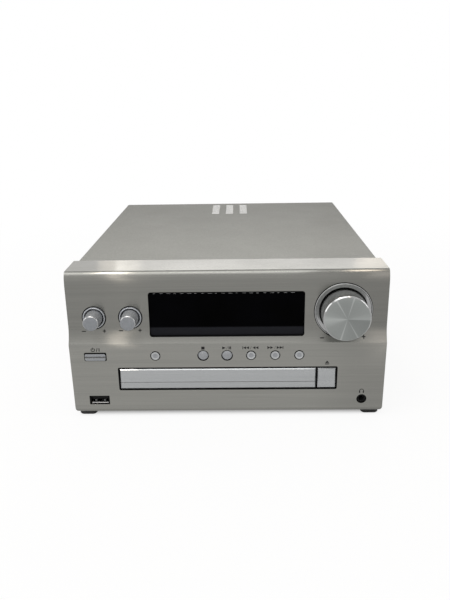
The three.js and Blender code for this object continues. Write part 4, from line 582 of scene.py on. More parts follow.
# Painted shade: the upper face darker above the crease, the foot of the face darker, the right side darker.
paint_light_by_place(brushed, (
    ("Z", 51.0, 61.0, 1.0, 0.78),
    ("Z", 4.5, 7.5, 0.72, 1.0),
    ("X", 50.0, 98.0, 1.0, 0.87),
))
print("metals:", [material.name for material in bpy.data.materials])

# %% [markdown]
# The big knob's face wears painted sheen in wedges: paler to the left and right, with painted shade a
# little darker below and four fine rays of painted highlight. The wedges are painted into the face's
# colour and fixed on it. They are read off the angle that the `turning` layer holds, by one colour ramp.

# %% The painted sheen of the turned face
PAINTED_SHEEN_STOPS = (
    (0.0, 0.6), (0.055, 0.44), (0.13, 0.4), (0.199, 0.4), (0.208, 0.78), (0.217, 0.4), (0.27, 0.38),
    (0.324, 0.4), (0.333, 0.84), (0.342, 0.42), (0.42, 0.44), (0.465, 0.52), (0.5, 0.78), (0.53, 0.66),
    (0.575, 0.46), (0.64, 0.42), (0.699, 0.44), (0.708, 0.9), (0.717, 0.44), (0.77, 0.38), (0.825, 0.34),
    (0.833, 0.72), (0.841, 0.32), (0.91, 0.28), (0.975, 0.26), (0.988, 0.3), (0.996, 0.6),
)


def build_painted_sheen():
    tree, given, result = new_group("wedges", {"Fine": 0.08}, ["Tone", "Height"])
    where = place_node(tree, "ShaderNodeUVMap", uv_map="turning")
    parts = place_node(tree, "ShaderNodeSeparateXYZ")
    ramp = place_node(tree, "ShaderNodeValToRGB")
    stops = ramp.color_ramp.elements
    for index, (place, value) in enumerate(PAINTED_SHEEN_STOPS):
        stop = stops[index] if index < 2 else stops.new(place)
        stop.position = place
        stop.color = (value, value, value, 1)
    spread = place_node(tree, "ShaderNodeTexCoord")
    grit = place_node(tree, "ShaderNodeTexNoise", inputs={"Scale": 1500.0, "Detail": 2.0})
    scaled = place_node(tree, "ShaderNodeMath", operation="MULTIPLY")
    both = place_node(tree, "ShaderNodeMath", operation="ADD")
    wire(
        tree,
        ((where, 0), (parts, 0)),
        ((parts, "X"), (ramp, 0)),
        ((spread, "Object"), (grit, "Vector")),
        ((grit, 0), (scaled, 0)),
        ((given, "Fine"), (scaled, 1)),
        ((ramp, 0), (both, 0)),
        ((scaled, 0), (both, 1)),
        ((both, 0), (result, "Tone")),
        ((grit, 0), (result, "Height")),
    )
    return tree


# Painted sheen: the ramp paints pale wedges, bright rays and a darker part below into the face's colour.
face_with_painted_sheen = finish(
    "face_with_painted_sheen", shade(92, (0, 3, 1)), shade(172, (0, 3, 1)), build_painted_sheen(), {"Fine": 0.08},
    rough=(0.28, 0.34), Metallic=1.0, Anisotropic=0.5,
)
turn_tangent(face_with_painted_sheen)
print("wedges:", len(PAINTED_SHEEN_STOPS), "stops")

# %% The paints, plastics and rubber
cover_paint = speckled(
    "cover_paint", shade(118, (0, 0, -3)), shade(134, (0, 0, -4)), 1500.0,
    rough=(0.5, 0.58), bump=0.006, Metallic=0.6, Specular_IOR_Level=0.2, Specular_Tint=(0.4, 0.4, 0.4, 1.0),
)
# Painted light and shade: the cover lighter towards the front and darker towards the right.
paint_light_by_place(cover_paint, (("Y", -100.0, 115.0, 1.4, 1.02), ("X", 30.0, 100.0, 1.0, 0.9)))
louvre_metal = speckled("louvre_metal", shade(198), shade(212), 1500.0, rough=(0.4, 0.5), Metallic=0.2)
silver_paint = finish(
    "silver_paint", shade(150, (0, 2, 3)), shade(172, (0, 2, 3)),
    grain, {"Stretch": (12.0, 1100.0, 1100.0), "Broad": 0.4},
    rough=(0.2, 0.24), bump=0.002, Metallic=0.8, Anisotropic=1.0,
)
turn_tangent(silver_paint)
key_silver = speckled(
    "key_silver", shade(136, (0, 2, 5)), shade(150, (0, 2, 5)), 2600.0, rough=(0.22, 0.28), Metallic=0.8,
)
# Painted highlight: a lighter copy of the key silver for the rims of the dished keys.
key_painted_highlight = speckled(
    "key_painted_highlight", shade(160, (0, 2, 3)), shade(176, (0, 2, 3)), 2600.0, rough=(0.22, 0.28), Metallic=0.8,
)
black_gloss = black_polish("black_gloss")
# Painted shade: a flat grey for grooves and for the contacts deep in the socket.
painted_shade_grey = speckled("painted_shade_grey", shade(96, (0, 1, 2)), shade(112, (0, 1, 2)), 2400.0)
# Painted highlight: the bright finish of the glints under the window's top.
glint_paint = finish(
    "painted_glint", shade(120), shade(230), grain, {"Stretch": (190.0, 10.0, 10.0), "Broad": 0.1},
    rough=(0.2, 0.26), Metallic=0.2,
)
# Near-black: the real black of the jack's barrel and the socket's tongue, and painted shade on walls and
# gaps.
black_and_painted_shade = speckled("black_and_painted_shade", shade(8), shade(13), 2400.0, rough=(0.6, 0.7), Specular_IOR_Level=0.15)
black_plastic = speckled(
    "black_plastic", shade(26), shade(38, (0, 0, 1)), 2400.0, rough=(0.5, 0.62), bump=0.01,
)
grey_plastic = speckled(
    "grey_plastic", shade(58, (0, 1, 2)), shade(72, (0, 1, 2)), 2000.0, rough=(0.5, 0.6), bump=0.01,
)
white_plastic = speckled(
    "white_plastic", shade(206, (2, 2, -4)), shade(222, (2, 2, -4)), 1400.0, rough=(0.42, 0.52), bump=0.006,
)
red_plastic = speckled(
    "red_plastic", (0.28, 0.012, 0.01, 1), (0.4, 0.02, 0.016, 1), 1800.0, rough=(0.3, 0.4), bump=0.004,
)
rubber = speckled("rubber", shade(24), shade(36), 1700.0, rough=(0.7, 0.85), bump=0.02)
ink = speckled("ink", shade(20), shade(28), 3000.0, rough=(0.5, 0.6), Specular_IOR_Level=0.2)
print("plain finishes:", len(bpy.data.materials), "materials so far")

# %% [markdown]
# The window is smoked plastic over a display. Along its lowest part a dark grey band is painted into the
# window's colour, read off the height: a painted reflection of the table.

# %% The smoked window and its painted reflection
REFLECTION_BAND_TOP = 5.2
REFLECTION_BAND_SOFT = 1.2


def build_window_with_reflection(low, soft):
    material = black_polish("smoked_window_painted_reflection")
    tree = material.node_tree
    where = place_node(tree, "ShaderNodeTexCoord")
    parts = place_node(tree, "ShaderNodeSeparateXYZ")
    band = ease(tree, low, low + soft, 1.0, 0.0)
    # Painted reflection: a dark grey band of the table laid over the window's black, lowest on the window.
    blend = colour_over(material, shade(36, (-1, 0, 4)))
    wire(
        tree,
        ((where, "Object"), (parts, 0)),
        ((parts, "Z"), (band, 0)),
        ((band, 0), (blend, 0)),
    )
    return material


window_foot = panel_box("display_window")[0].z
smoked = build_window_with_reflection((window_foot + REFLECTION_BAND_TOP) * MM, REFLECTION_BAND_SOFT * MM)
print("finish", smoked.name)


# %% [markdown]
# A circuit board is green lacquer over copper. Copper tracks run at right angles, so a texture of squarish
# cells with narrow joints, seen through the lacquer as a lighter green, reads as a routed board.

# %% The circuit board finish
def build_board_finish():
    material = speckled(
        "circuit_board", shade(40, (-18, 30, -2)), shade(52, (-20, 40, 0)), 700.0,
        rough=(0.3, 0.42), Coat_Weight=0.25,
    )
    tree = material.node_tree
    where = place_node(tree, "ShaderNodeTexCoord")
    tracks = place_node(tree, "ShaderNodeTexVoronoi", distance="CHEBYCHEV", inputs={"Scale": 260.0})
    narrow = place_node(tree, "ShaderNodeMapRange", inputs={1: 0.36, 2: 0.42})
    blend = colour_over(material, shade(96, (-40, 40, -20)))
    wire(
        tree,
        ((where, "Object"), (tracks, "Vector")),
        ((tracks, "Distance"), (narrow, 0)),
        ((narrow, 0), (blend, 0)),
    )
    return material


board_finish = build_board_finish()
print("finish", board_finish.name)

# %% [markdown]
# ## The CAD parts that keep their shape
# Inside the case the solids are already right, so they only get their finish. Each node's finish follows
# the material slot that the record gives it.

# %% Give every carried-over part its finish
slot_finishes = {
    "brushed_aluminium": brushed,
    "silver_button": silver_paint,
    "spun_aluminium": spun,
    "chrome_trim": chrome,
    "painted_steel": cover_paint,
    "zinc_steel": zinc,
    "bright_steel": bright_steel,
    "dark_steel": laminations,
    "heatsink_aluminium": extruded,
    "black_gloss": black_gloss,
    "black_plastic": black_plastic,
    "grey_plastic": grey_plastic,
    "white_plastic": white_plastic,
    "red_plastic": red_plastic,
    "rubber": rubber,
    "circuit_board": board_finish,
}
node_slots = {entry["node"]: entry["material_slot"] for entry in frame["record"]["subparts"]}
for name, node in nodes.items():
    node.data.materials.clear()
    node.data.materials.append(slot_finishes[node_slots[name]])
print("finishes set on", len(nodes), "nodes")

# %% [markdown]
# ## Front panel
# The panel is one bent and machined plate. Seen from the side its face leans out to a crease under the
# display, falls back in a cove, and rolls over at the top into a flat strip. The outline is drawn once
# and carried across the whole width; a rounded front outline trims its corners, and cutters open it for
# the display, the tray, the knobs, the keys and the sockets.

# %% The panel's sizes
PANEL_HALF = 105.5
CASE_TOP = 103.7
PANEL_BOTTOM = panel_box("front_panel")[0].z
STRIP_DEPTH = 32.0
LIP_DEPTH = 20.0
CREASE_HEIGHT = 54.6
UPPER_FACE = 2.5
COVE_HEIGHT = 12.0
COVE_RISE = 6.5
BOTTOM_RADIUS = 1.8
PANEL_WALL = 2.5
STRIP_WALL = 2.0
CHEEK_WALL = 2.2
PANEL_CORNER = 3.0


# %% The panel's front line
def lower_face(height):
    """Where the lower face lies at a height. It leans forward, so the value is below zero."""
    return -CREASE_REACH * (height - PANEL_BOTTOM) / (CREASE_HEIGHT - PANEL_BOTTOM)


ROLL_HEIGHT = 10.7
ROLL_DEPTH = 4.4
ROLL_STEPS = 20
SEAM_STEP = 15
SEAM_DEPTH = 0.2
SEAM_SHAPE = (0, 0.6, 1, 1, 0.6, 0)


def seam(start, end):
    """A shallow round groove between two points of the roll, where the top strip begins."""
    across = (end[0] - start[0], end[1] - start[1])
    length = math.hypot(*across)
    inward = (across[1] / length, -across[0] / length)
    points = []
    for index, deep in enumerate(SEAM_SHAPE):
        share = index / (len(SEAM_SHAPE) - 1)
        points.append((
            start[0] + across[0] * share + inward[0] * SEAM_DEPTH * deep,
            start[1] + across[1] * share + inward[1] * SEAM_DEPTH * deep,
        ))
    return points


def panel_front(inset=0.0, strip=0.0):
    """The front line from the crease up to the top strip, set back by a wall."""
    face = UPPER_FACE + inset
    crease = (inset - CREASE_REACH, CREASE_HEIGHT)
    cove_end = (face, CREASE_HEIGHT + COVE_HEIGHT)
    roll = (face, CASE_TOP - ROLL_HEIGHT - strip)
    over = bend(roll, (face, CASE_TOP - strip), (face + ROLL_DEPTH, CASE_TOP - strip), ROLL_STEPS)
    if not inset:
        over = over[:SEAM_STEP] + seam(over[SEAM_STEP], over[SEAM_STEP + 1]) + over[SEAM_STEP + 2:]
    return [crease] + bend(crease, (face, CREASE_HEIGHT + COVE_RISE), cove_end) + [roll] + over


def face_at(height):
    """The panel's face at a height, read off the outline."""
    line = [(lower_face(PANEL_BOTTOM), PANEL_BOTTOM)] + panel_front()
    for (y0, z0), (y1, z1) in zip(line, line[1:]):
        if z0 <= height <= z1:
            return y0 + (y1 - y0) * (height - z0) / max(z1 - z0, 1e-6)
    return UPPER_FACE


print("panel:", 2 * PANEL_HALF, "mm wide; its line has", len(panel_front()), "points")


# %% Where the controls sit
VOLUME = (76.5, 76.2)
BASS = (-87.8, 72.6)
TREBLE = (-63.7, 72.6)
VOLUME_RING = 18.9
TONE_RING = 7.75
RING_GAP = 0.35
KEY_ROW = 46.4
KEY_PITCH = 16.0
KEY_GAP = 0.35
KEY_SIDES = 64
SMALL_KEY = 2.85
LARGE_KEY = 3.3
keys = {
    "favourite": (-3, SMALL_KEY),
    "stop": (-1, LARGE_KEY),
    "play_pause": (0, LARGE_KEY),
    "skip_back": (1, SMALL_KEY),
    "skip_forward": (2, SMALL_KEY),
    "selector": (3, SMALL_KEY),
}
POWER = (-88.3, 45.95, 13.9, 5.0)
WINDOW = (-51.0, 51.0, 59.4, 89.6)
OPENING = (-73.4, 73.4, 21.2, 37.3)
usb_low, usb_high = panel_box("usb_socket")
USB = ((usb_low.x + usb_high.x) / 2, (usb_low.z + usb_high.z) / 2, 12.8, 5.6)
jack_low, jack_high = panel_box("headphone_jack")
JACK = ((jack_low.x + jack_high.x) / 2, (jack_low.z + jack_high.z) / 2 - 0.05, 3.1)
FIT = 0.3
EASE = 0.22
DOOR_EASE = 0.5
DOOR_TRIM = 0.2
TONE_TRIM = 0.4
FLANGE_FRONT = lower_face(KEY_ROW) + PANEL_WALL + FIT
FLANGE_WIDE = 0.9
FLANGE_THICK = 0.9
KEY_STEM = 1.2
OPENING_REACH = (-9, 6)
print("controls:", len(keys), "round keys, power key at", POWER[:2], "and sockets at", USB[:2], JACK[:2])


# %% The panel's solid and its cutters
TRIM_REACH = (-9, 40)


def panel_shell(bm):
    """The whole section, carried across the width."""
    lower_start = [(STRIP_DEPTH, PANEL_BOTTOM), (BOTTOM_RADIUS, PANEL_BOTTOM)]
    corner = bend((BOTTOM_RADIUS, PANEL_BOTTOM), (0, PANEL_BOTTOM), (0, PANEL_BOTTOM + BOTTOM_RADIUS), 6)
    outline = lower_start + corner + panel_front() + [(STRIP_DEPTH, CASE_TOP)]
    prism(bm, outline, (-PANEL_HALF, PANEL_HALF), "across")


def panel_trim(bm):
    """The panel's front outline. It reaches past the top, where the panel stays square."""
    outline = rounded(-PANEL_HALF, PANEL_HALF, PANEL_BOTTOM, CASE_TOP + 2 * PANEL_CORNER, PANEL_CORNER)
    prism(bm, outline, TRIM_REACH, "back")


def panel_hollow(bm):
    """The room behind the panel's walls, up to its cheeks."""
    line = panel_front(PANEL_WALL, STRIP_WALL)
    outline = [
        (STRIP_DEPTH + 4, PANEL_BOTTOM - 4),
        (LIP_DEPTH, PANEL_BOTTOM - 4),
        (LIP_DEPTH, PANEL_BOTTOM + PANEL_WALL),
        (PANEL_WALL, PANEL_BOTTOM + PANEL_WALL),
    ] + line + [(STRIP_DEPTH + 4, CASE_TOP - STRIP_WALL)]
    inner = PANEL_HALF - CHEEK_WALL
    prism(bm, outline, (-inner, inner), "across")


def panel_openings(bm):
    """The cutters for the window, the tray, the keys, the knobs and the sockets."""
    for (left, right, bottom, top), gap, radius, steps in (
        (WINDOW, FIT, 1.9, CORNER_STEPS),
        (OPENING, DOOR_EASE, 1.1, 4),
    ):
        outline = rounded(left - gap, right + gap, bottom - gap, top + gap, radius, steps)
        prism(bm, outline, OPENING_REACH, "back")
    for x, z, wide, high, gap, radius in ((*POWER, 2 * KEY_GAP, 0.95), (*USB, 2 * FIT, 0.4)):
        half_x, half_z = (wide + gap) / 2 + EASE, (high + gap) / 2 + EASE
        prism(bm, rounded_about(x, z, half_x, half_z, radius, 4), OPENING_REACH, "back")
    rings = ((VOLUME, VOLUME_RING), (BASS, TONE_RING), (TREBLE, TONE_RING))
    holes = [(*middle, radius + RING_GAP, LATHE_SIDES) for middle, radius in rings]
    for step, radius in keys.values():
        holes.append((step * KEY_PITCH, KEY_ROW, radius + KEY_GAP + EASE, KEY_SIDES))
    holes.append((JACK[0], JACK[1], JACK[2] + FIT, KEY_SIDES))
    for x, z, radius, sides in holes:
        turned(bm, rod(radius, *OPENING_REACH), (x, 0, z), sides=sides)


# %% Cut and finish the panel
OPENINGS_HALF = 102
OPENINGS_TOP = CASE_TOP - STRIP_WALL - 8
OPENINGS_REAR = 5
panel_mesh = carve(solid(panel_shell), solid(panel_trim), "INTERSECT")
panel_mesh = carve(panel_mesh, solid(panel_hollow))
panel_mesh = carve(panel_mesh, solid(panel_openings))
brush_layer(panel_mesh)
panel = piece("panel", panel_mesh, brushed, "case", ["front_panel"], edge=0.16)
panel.modifiers["edge"].material = 0


# Painted shade: the walls of the panel's openings wear the near-black finish.
def in_opening(centre, normal):
    """The walls of the panel's openings."""
    wall = abs(normal.y) < 0.5 and centre.y < OPENINGS_REAR and abs(centre.x) < OPENINGS_HALF
    return wall and PANEL_BOTTOM + PANEL_WALL < centre.z < OPENINGS_TOP


print("panel:", len(panel.data.polygons), "faces,", second_finish(panel, black_and_painted_shade, in_opening), "black")

# %% [markdown]
# ## Rings and knobs
# Each knob stands in a bright ring let into the panel. The ring has a narrow land, then falls inwards
# in a dish to the knob. All of these are turned parts, so each is one outline swept round its axis. A knob's
# outline starts and ends on the axis, and a ring's comes back to its first point, which closes the skin.

# %% Turn the rings
RING_LAND = 0.36
# A ring's inner radius, the gap between its lip and that, and how deep its dish goes.
VOLUME_DISH = (15.55, 0.3, 3.2)
TONE_DISH = (6.15, 0.03, 0.9)


def ring_outline(outer, inner, front, rear, gap, deep):
    lip = inner + gap
    return [
        (inner, front + deep),
        (lip - 0.02, front + deep - 0.2),
        (lip, front + 0.85),
        (lip + 0.12, front + 0.7),
        (outer - 2 * RING_LAND - 0.15, front + 0.5),
        (outer - 2 * RING_LAND, front + 0.12),
        (outer - RING_LAND - 0.1, front),
        (outer - 0.26, front + 0.04),
        (outer - 0.08, front + 0.18),
        (outer, front + 0.45),
        (outer, rear),
        (inner, rear),
        (inner, front + deep),
    ]


for label, (x, z), outer, (inner, gap, deep), metal in (
    ("volume", VOLUME, VOLUME_RING, VOLUME_DISH, chrome),
    ("bass", BASS, TONE_RING - TONE_TRIM, TONE_DISH, satin),
    ("treble", TREBLE, TONE_RING - TONE_TRIM, TONE_DISH, satin),
):
    low, high = panel_box(f"{label}_ring")
    mesh = solid(turned, ring_outline(outer, inner, low.y, high.y, gap, deep), (x, 0, z))
    trim = piece(f"{label}_trim", mesh, metal, "case", [f"{label}_ring"])
    lip, crown = inner + gap + 0.01, (outer - 0.9, outer - 0.42)

    def in_gap(centre, normal):
        """The inside of the ring, down beside the knob."""
        return off_axis(centre, x, z) < lip

    def on_crown(centre, normal):
        """The narrow slope just inside the ring's land."""
        return crown[0] < off_axis(centre, x, z) < crown[1] and centre.y < low.y + 0.6

    # Painted shade: the inside of the volume ring is near-black. Painted highlight: the tone rings' crown is
    # bright.
    if label == "volume":
        second_finish(trim, black_and_painted_shade, in_gap)
    else:
        second_finish(trim, lip_painted_highlight, on_crown)
    print(label, "ring:", len(mesh.polygons), "faces")


# %% Turn the knobs
# A knob's radius at the face and at the foot, its chamfer, and the radius of its bore.
VOLUME_KNOB = (15.25, 14.9, 0.8, 3.12)
TONE_KNOB = (5.1, 5.6, 0.4, 2.32)


def knob_outline(face, foot, front, rear, chamfer, bore, bore_end):
    return [
        (0, front),
        (face * 0.5, front),
        (face - chamfer - 0.06, front),
        (face - chamfer, front + 0.03),
        (face - 0.05, front + chamfer),
        (face, front + chamfer + 0.08),
        (foot, rear - 2.0),
        (foot, rear - 0.2),
        (foot - 0.2, rear),
        (bore, rear),
        (bore, bore_end),
        (0, bore_end),
    ]


for label, (x, z), (face, foot, chamfer, bore), metal, face_metal in (
    ("volume", VOLUME, VOLUME_KNOB, spun, face_with_painted_sheen),
    ("bass", BASS, TONE_KNOB, satin, satin_face_painted_shade),
    ("treble", TREBLE, TONE_KNOB, satin, satin_face_painted_shade),
):
    low, high = panel_box(f"{label}_knob")
    shaft_front = panel_box(f"{label}_shaft")[0].y
    outline = knob_outline(face, foot, low.y, high.y, chamfer, bore, shaft_front - FIT)
    mesh = solid(turned, outline, (x, 0, z))
    dial = piece(f"{label}_dial", mesh, metal, label, [f"{label}_knob"])
    front, rim = low.y + 0.01, face - chamfer

    def on_chamfer(centre, normal):
        """The band that was cut bright round the face."""
        return centre.y < front + chamfer + 0.05 and off_axis(centre, x, z) > rim - 0.01

    def on_face(centre, normal):
        """The flat face inside that band."""
        return centre.y < front + 0.03 and off_axis(centre, x, z) < rim + 0.01

    second_finish(dial, cut_edge, on_chamfer)
    second_finish(dial, face_metal, on_face)
    print(label, "knob:", len(mesh.polygons), "faces")

# %% [markdown]
# ## Keys
# The round keys are small silver caps: the two larger ones are domed and the others have a soft dish. The
# power key is a short bar with a groove along its middle, and the eject key is a block of the same section
# as the tray's door, so that the two read as one line across the panel.

# %% The round keys
KEY_SINK = 0.5
KEY_DISH = 0.16
KEY_DOME = -0.2
KEY_RIM = 0.35
DISH_STEPS = 6
DISH_SHARE = 0.62


def key_outline(radius, front, dish, rear):
    """A positive dish hollows the face, and a negative one makes a dome of it."""
    rim = radius - KEY_RIM
    face = [(0, front + max(dish, 0))]
    for index in range(1, DISH_STEPS + 1):
        share = index / DISH_STEPS
        face.append((rim * share, front + (dish * (1 - share ** 2) if dish > 0 else -dish * share ** 2)))
    edge = front + max(-dish, 0)
    return face + [
        (radius - 0.1, edge + 0.14),
        (radius, edge + 0.36),
        (radius, FLANGE_FRONT),
        (radius + FLANGE_WIDE, FLANGE_FRONT),
        (radius + FLANGE_WIDE, FLANGE_FRONT + FLANGE_THICK),
        (KEY_STEM, FLANGE_FRONT + FLANGE_THICK),
        (KEY_STEM, rear),
        (0, rear),
    ]


for label, (step, radius) in keys.items():
    low, high = panel_box(f"{label}_button")
    domed = radius == LARGE_KEY
    outline = key_outline(radius, low.y + KEY_SINK, radius * (KEY_DOME if domed else KEY_DISH), high.y)
    place = Vector((step * KEY_PITCH, 0, KEY_ROW))
    mesh = solid(turned, outline, place, "y", KEY_SIDES)
    # A dished key wears the lighter silver on its rim, a painted highlight; its middle gets the darker key
    # silver, painted shade.
    metal = key_silver if domed else key_painted_highlight
    key = piece(f"{label}_key", mesh, metal, label, [f"{label}_button"])

    def on_wall(centre, normal):
        """The key's round wall, in the shadow of its hole."""
        return off_axis(centre, place.x, place.z) > radius - 0.06 and abs(normal.y) < 0.5

    def in_dish(centre, normal):
        """The middle of a dished face."""
        return off_axis(centre, place.x, place.z) < radius * DISH_SHARE

    # Painted shade: the key's round wall is near-black.
    second_finish(key, black_and_painted_shade, on_wall)
    if not domed:
        second_finish(key, key_silver, in_dish)
print("round keys:", len(keys))


# %% The power key
POWER_BEVEL = 0.9
GROOVE_DEEP = 0.6
power_low, power_high = panel_box("power_button")


def power_form(bm):
    x, z, wide, tall = POWER
    cap = rounded_about(x, z, wide / 2, tall / 2, POWER_BEVEL)
    prism(bm, cap, (power_low.y, FLANGE_FRONT + 0.45), "back")


def power_groove(bm):
    x, z, wide = POWER[:3]
    front, deep = power_low.y - 1, power_low.y + GROOVE_DEEP
    profile = [(front, z - 0.8), (deep, z - 0.35), (deep, z + 0.35), (front, z + 0.8)]
    prism(bm, profile, (x - wide, x + wide), "across")


def power_back(bm):
    x, z, wide, tall = POWER
    half_x, half_z = wide / 2 + FLANGE_WIDE, tall / 2 + FLANGE_WIDE
    rear = FLANGE_FRONT + FLANGE_THICK
    brick(bm, (x - half_x, FLANGE_FRONT, z - half_z), (x + half_x, rear, z + half_z))
    turned(bm, rod(KEY_STEM, FLANGE_FRONT + 0.6, power_high.y), (x, 0, z), sides=32)


power_mesh = carve(carve(solid(power_form), solid(power_back), "UNION"), solid(power_groove))
power_piece = piece(
    "power_key", power_mesh, key_silver, "power", ["power_button"], edge=0.22, segments=3,
)


# Painted shade: the groove wears flat grey and the key's sides near-black.
def in_groove(centre, normal):
    """The key's groove."""
    return centre.y > power_low.y + 0.1 and abs(centre.z - POWER[1]) < 0.7


def on_side(centre, normal):
    """The key's sides behind its face."""
    return abs(normal.y) < 0.3 and abs(centre.z - POWER[1]) > 0.9 and centre.y > power_low.y + 0.2


print("power key:", second_finish(power_piece, painted_shade_grey, in_groove), "groove faces")
second_finish(power_piece, black_and_painted_shade, on_side)


# %% The section of the door and the eject key
DOOR_FACE = -1.1
DOOR_CREASE = 5.0
DOOR_SLOPE = 0.35
DOOR_EDGE = 0.6
DOOR_REAR = panel_box("tray_door")[1].y


def door_outline(bottom, top):
    return [
        (DOOR_REAR, bottom),
        (DOOR_FACE + DOOR_SLOPE + DOOR_EDGE, bottom),
        (DOOR_FACE + DOOR_SLOPE, bottom + DOOR_EDGE),
        (DOOR_FACE + 0.03, bottom + DOOR_CREASE - 0.22),
        (DOOR_FACE + 0.16, bottom + DOOR_CREASE),
        (DOOR_FACE, bottom + DOOR_CREASE + 0.22),
        (DOOR_FACE, top - DOOR_EDGE),
        (DOOR_FACE + DOOR_EDGE, top),
        (DOOR_REAR, top),
    ]


def door_form(bm, node):
    low, high = panel_box(node)
    prism(bm, door_outline(low.z + DOOR_TRIM, high.z - DOOR_TRIM), (low.x, high.x), "across")


def door_ends(bm, node):
    low, high = panel_box(node)
    left, right = low.x + DOOR_TRIM, high.x - DOOR_TRIM
    outline = [
        (left, DOOR_REAR + 4), (left, DOOR_FACE + DOOR_EDGE), (left + DOOR_EDGE, DOOR_FACE),
        (right - DOOR_EDGE, DOOR_FACE), (right, DOOR_FACE + DOOR_EDGE), (right, DOOR_REAR + 4),
    ]
    prism(bm, outline, (low.z - 1, high.z + 1), "up")


def door_block(node):
    """A length of the door's section with its ends chamfered."""
    return carve(solid(door_form, node), solid(door_ends, node), "INTERSECT")


# %% The tray's door
# Painted shade: the door's crease groove wears flat grey.
def in_crease(centre, normal):
    """The fine groove along the door's crease."""
    bottom = panel_box("tray_door")[0].z + DOOR_TRIM + DOOR_CREASE
    return abs(centre.z - bottom) < 0.2 and centre.y < DOOR_FACE + 0.3


door_mesh = door_block("tray_door")
brush_layer(door_mesh)
door = piece("door", door_mesh, silver_paint, "tray", ["tray_door"], edge=0.1)
print("door:", second_finish(door, painted_shade_grey, in_crease), "faces in its groove")

# %% The eject key
STEM_RAISE = 1.6


def eject_stem(bm):
    low, high = panel_box("eject_button")
    x, z = (low.x + high.x) / 2, (low.z + high.z) / 2 + STEM_RAISE
    turned(bm, rod(KEY_STEM, DOOR_REAR - 0.3, high.y), (x, 0, z), sides=32)


eject_mesh = carve(door_block("eject_button"), solid(eject_stem), "UNION")
brush_layer(eject_mesh)
piece("eject_key", eject_mesh, silver_paint, "eject", ["eject_button"], edge=0.1)
print("eject key:", len(eject_mesh.polygons), "faces")

# %% [markdown]
# ## Display window and sockets
# The window is a plate of polished black plastic, a little behind the panel's face. The small front
# socket is a folded steel shell with a black tongue and spring contacts, and the headphone jack is a
# black barrel round a deep hole with a steel contact ring inside.

# %% The window
def window_form(bm):
    low, high = panel_box("display_window")
    prism(bm, rounded(low.x, high.x, low.z, high.z, 1.6), (low.y, high.y), "back")


piece("window", solid(window_form), smoked, "case", ["display_window"], edge=0.35, segments=3)

# %% Painted glints under its top
GLINT_PITCH = 4.5
GLINT_MARGIN = 3


def window_glints(bm):
    """A row of short bright bars just in front of the window's top: painted glints."""
    low, high = panel_box("display_window")
    profile = [
        (low.y - 0.04, high.z - 0.78), (low.y + 0.2, high.z - 0.24), (low.y + 0.5, high.z - 0.24),
        (low.y + 0.2, high.z - 0.86),
    ]
    for index in range(int((high.x - low.x - 2 * GLINT_MARGIN) / GLINT_PITCH)):
        left = low.x + GLINT_MARGIN + GLINT_PITCH * index
        prism(bm, profile, (left, left + 1.6 + 0.5 * (index % 3)), "across")


piece("window_glints", solid(window_glints), glint_paint, "case")
print("window set, with glints", GLINT_PITCH, "mm apart")

# %% The front socket
SHELL_WALL = 0.4
CONTACTS = 4
CONTACT_MARGIN = 1.7
CONTACT_HALF = 0.5
SPRING_HALF = 0.6
# Places on the spring and on the rolled lip, back from the shell's mouth and up from its floor.
SPRING = ((1.5, 1.3), (1.7, 2.1), (2.6, 2.4), (6.5, 0.6), (6.5, 0.42), (2.4, 1.6))
LIP = ((0.02, 0.12), (0.02, 0.5), (0.5, 0.72), (1.4, 0.6), (1.4, 0.42), (0.3, 0.12))


def usb_shell(bm):
    prism(bm, rounded(usb_low.x, usb_high.x, usb_low.z, usb_high.z, 0.5, 5), (usb_low.y, usb_high.y), "back")


def usb_mouth(bm):
    left, bottom = usb_low.x + SHELL_WALL, usb_low.z + SHELL_WALL
    right, top = usb_high.x - SHELL_WALL, usb_high.z - SHELL_WALL
    prism(bm, rounded(left, right, bottom, top, 0.2, 4), (usb_low.y - 2, usb_high.y - 2 * SHELL_WALL), "back")


def usb_tongue(bm):
    front, rear = usb_low.y + 1.2, usb_high.y - 0.5
    brick(bm, (usb_low.x + 0.9, front, usb_high.z - 2.6), (usb_high.x - 0.9, rear, usb_high.z - 0.8))


def usb_strip(bm, profile, left, end):
    """One of the bent strips in the shell, carried across from left to end."""
    prism(bm, [(usb_low.y + back, usb_low.z + up) for back, up in profile], (left, end), "across")


def usb_contacts(bm):
    front, rear = usb_low.y + 1.6, usb_high.y - 2
    bottom, top = usb_high.z - 2.75, usb_high.z - 2.55
    pitch = (usb_high.x - usb_low.x - 2 * CONTACT_MARGIN) / (CONTACTS - 1)
    for index in range(CONTACTS):
        x = usb_low.x + CONTACT_MARGIN + index * pitch
        brick(bm, (x - CONTACT_HALF, front, bottom), (x + CONTACT_HALF, rear, top))
    for x in (usb_low.x + 2 * CONTACT_MARGIN, usb_high.x - 2 * CONTACT_MARGIN):
        usb_strip(bm, SPRING, x - SPRING_HALF, x + SPRING_HALF)


def usb_lip(bm):
    """The rolled lower edge of the shell."""
    usb_strip(bm, LIP, usb_low.x + 0.9, usb_high.x - 0.35)


# Painted shade: all of the shell but its floor wears near-black.
def on_rim(centre, normal):
    """All of the shell but its floor, which lies in the light."""
    return normal.z < 0.5 or centre.z > USB[1]


usb_mesh = carve(solid(usb_shell), solid(usb_mouth))
socket = piece("usb_shell", usb_mesh, bright_steel, "case", ["usb_socket"])
print("blackened faces of the shell:", second_finish(socket, black_and_painted_shade, on_rim))
piece("usb_tongue", solid(usb_tongue), black_and_painted_shade, "case", edge=0.15)
# Painted shade: the contacts and springs deep in the shell wear flat grey.
piece("usb_contacts", solid(usb_contacts), painted_shade_grey, "case")
# Painted highlight: the lip wears the pale louvre finish, a light line along the shell's lower edge.
piece("usb_lip", solid(usb_lip), louvre_metal, "case")

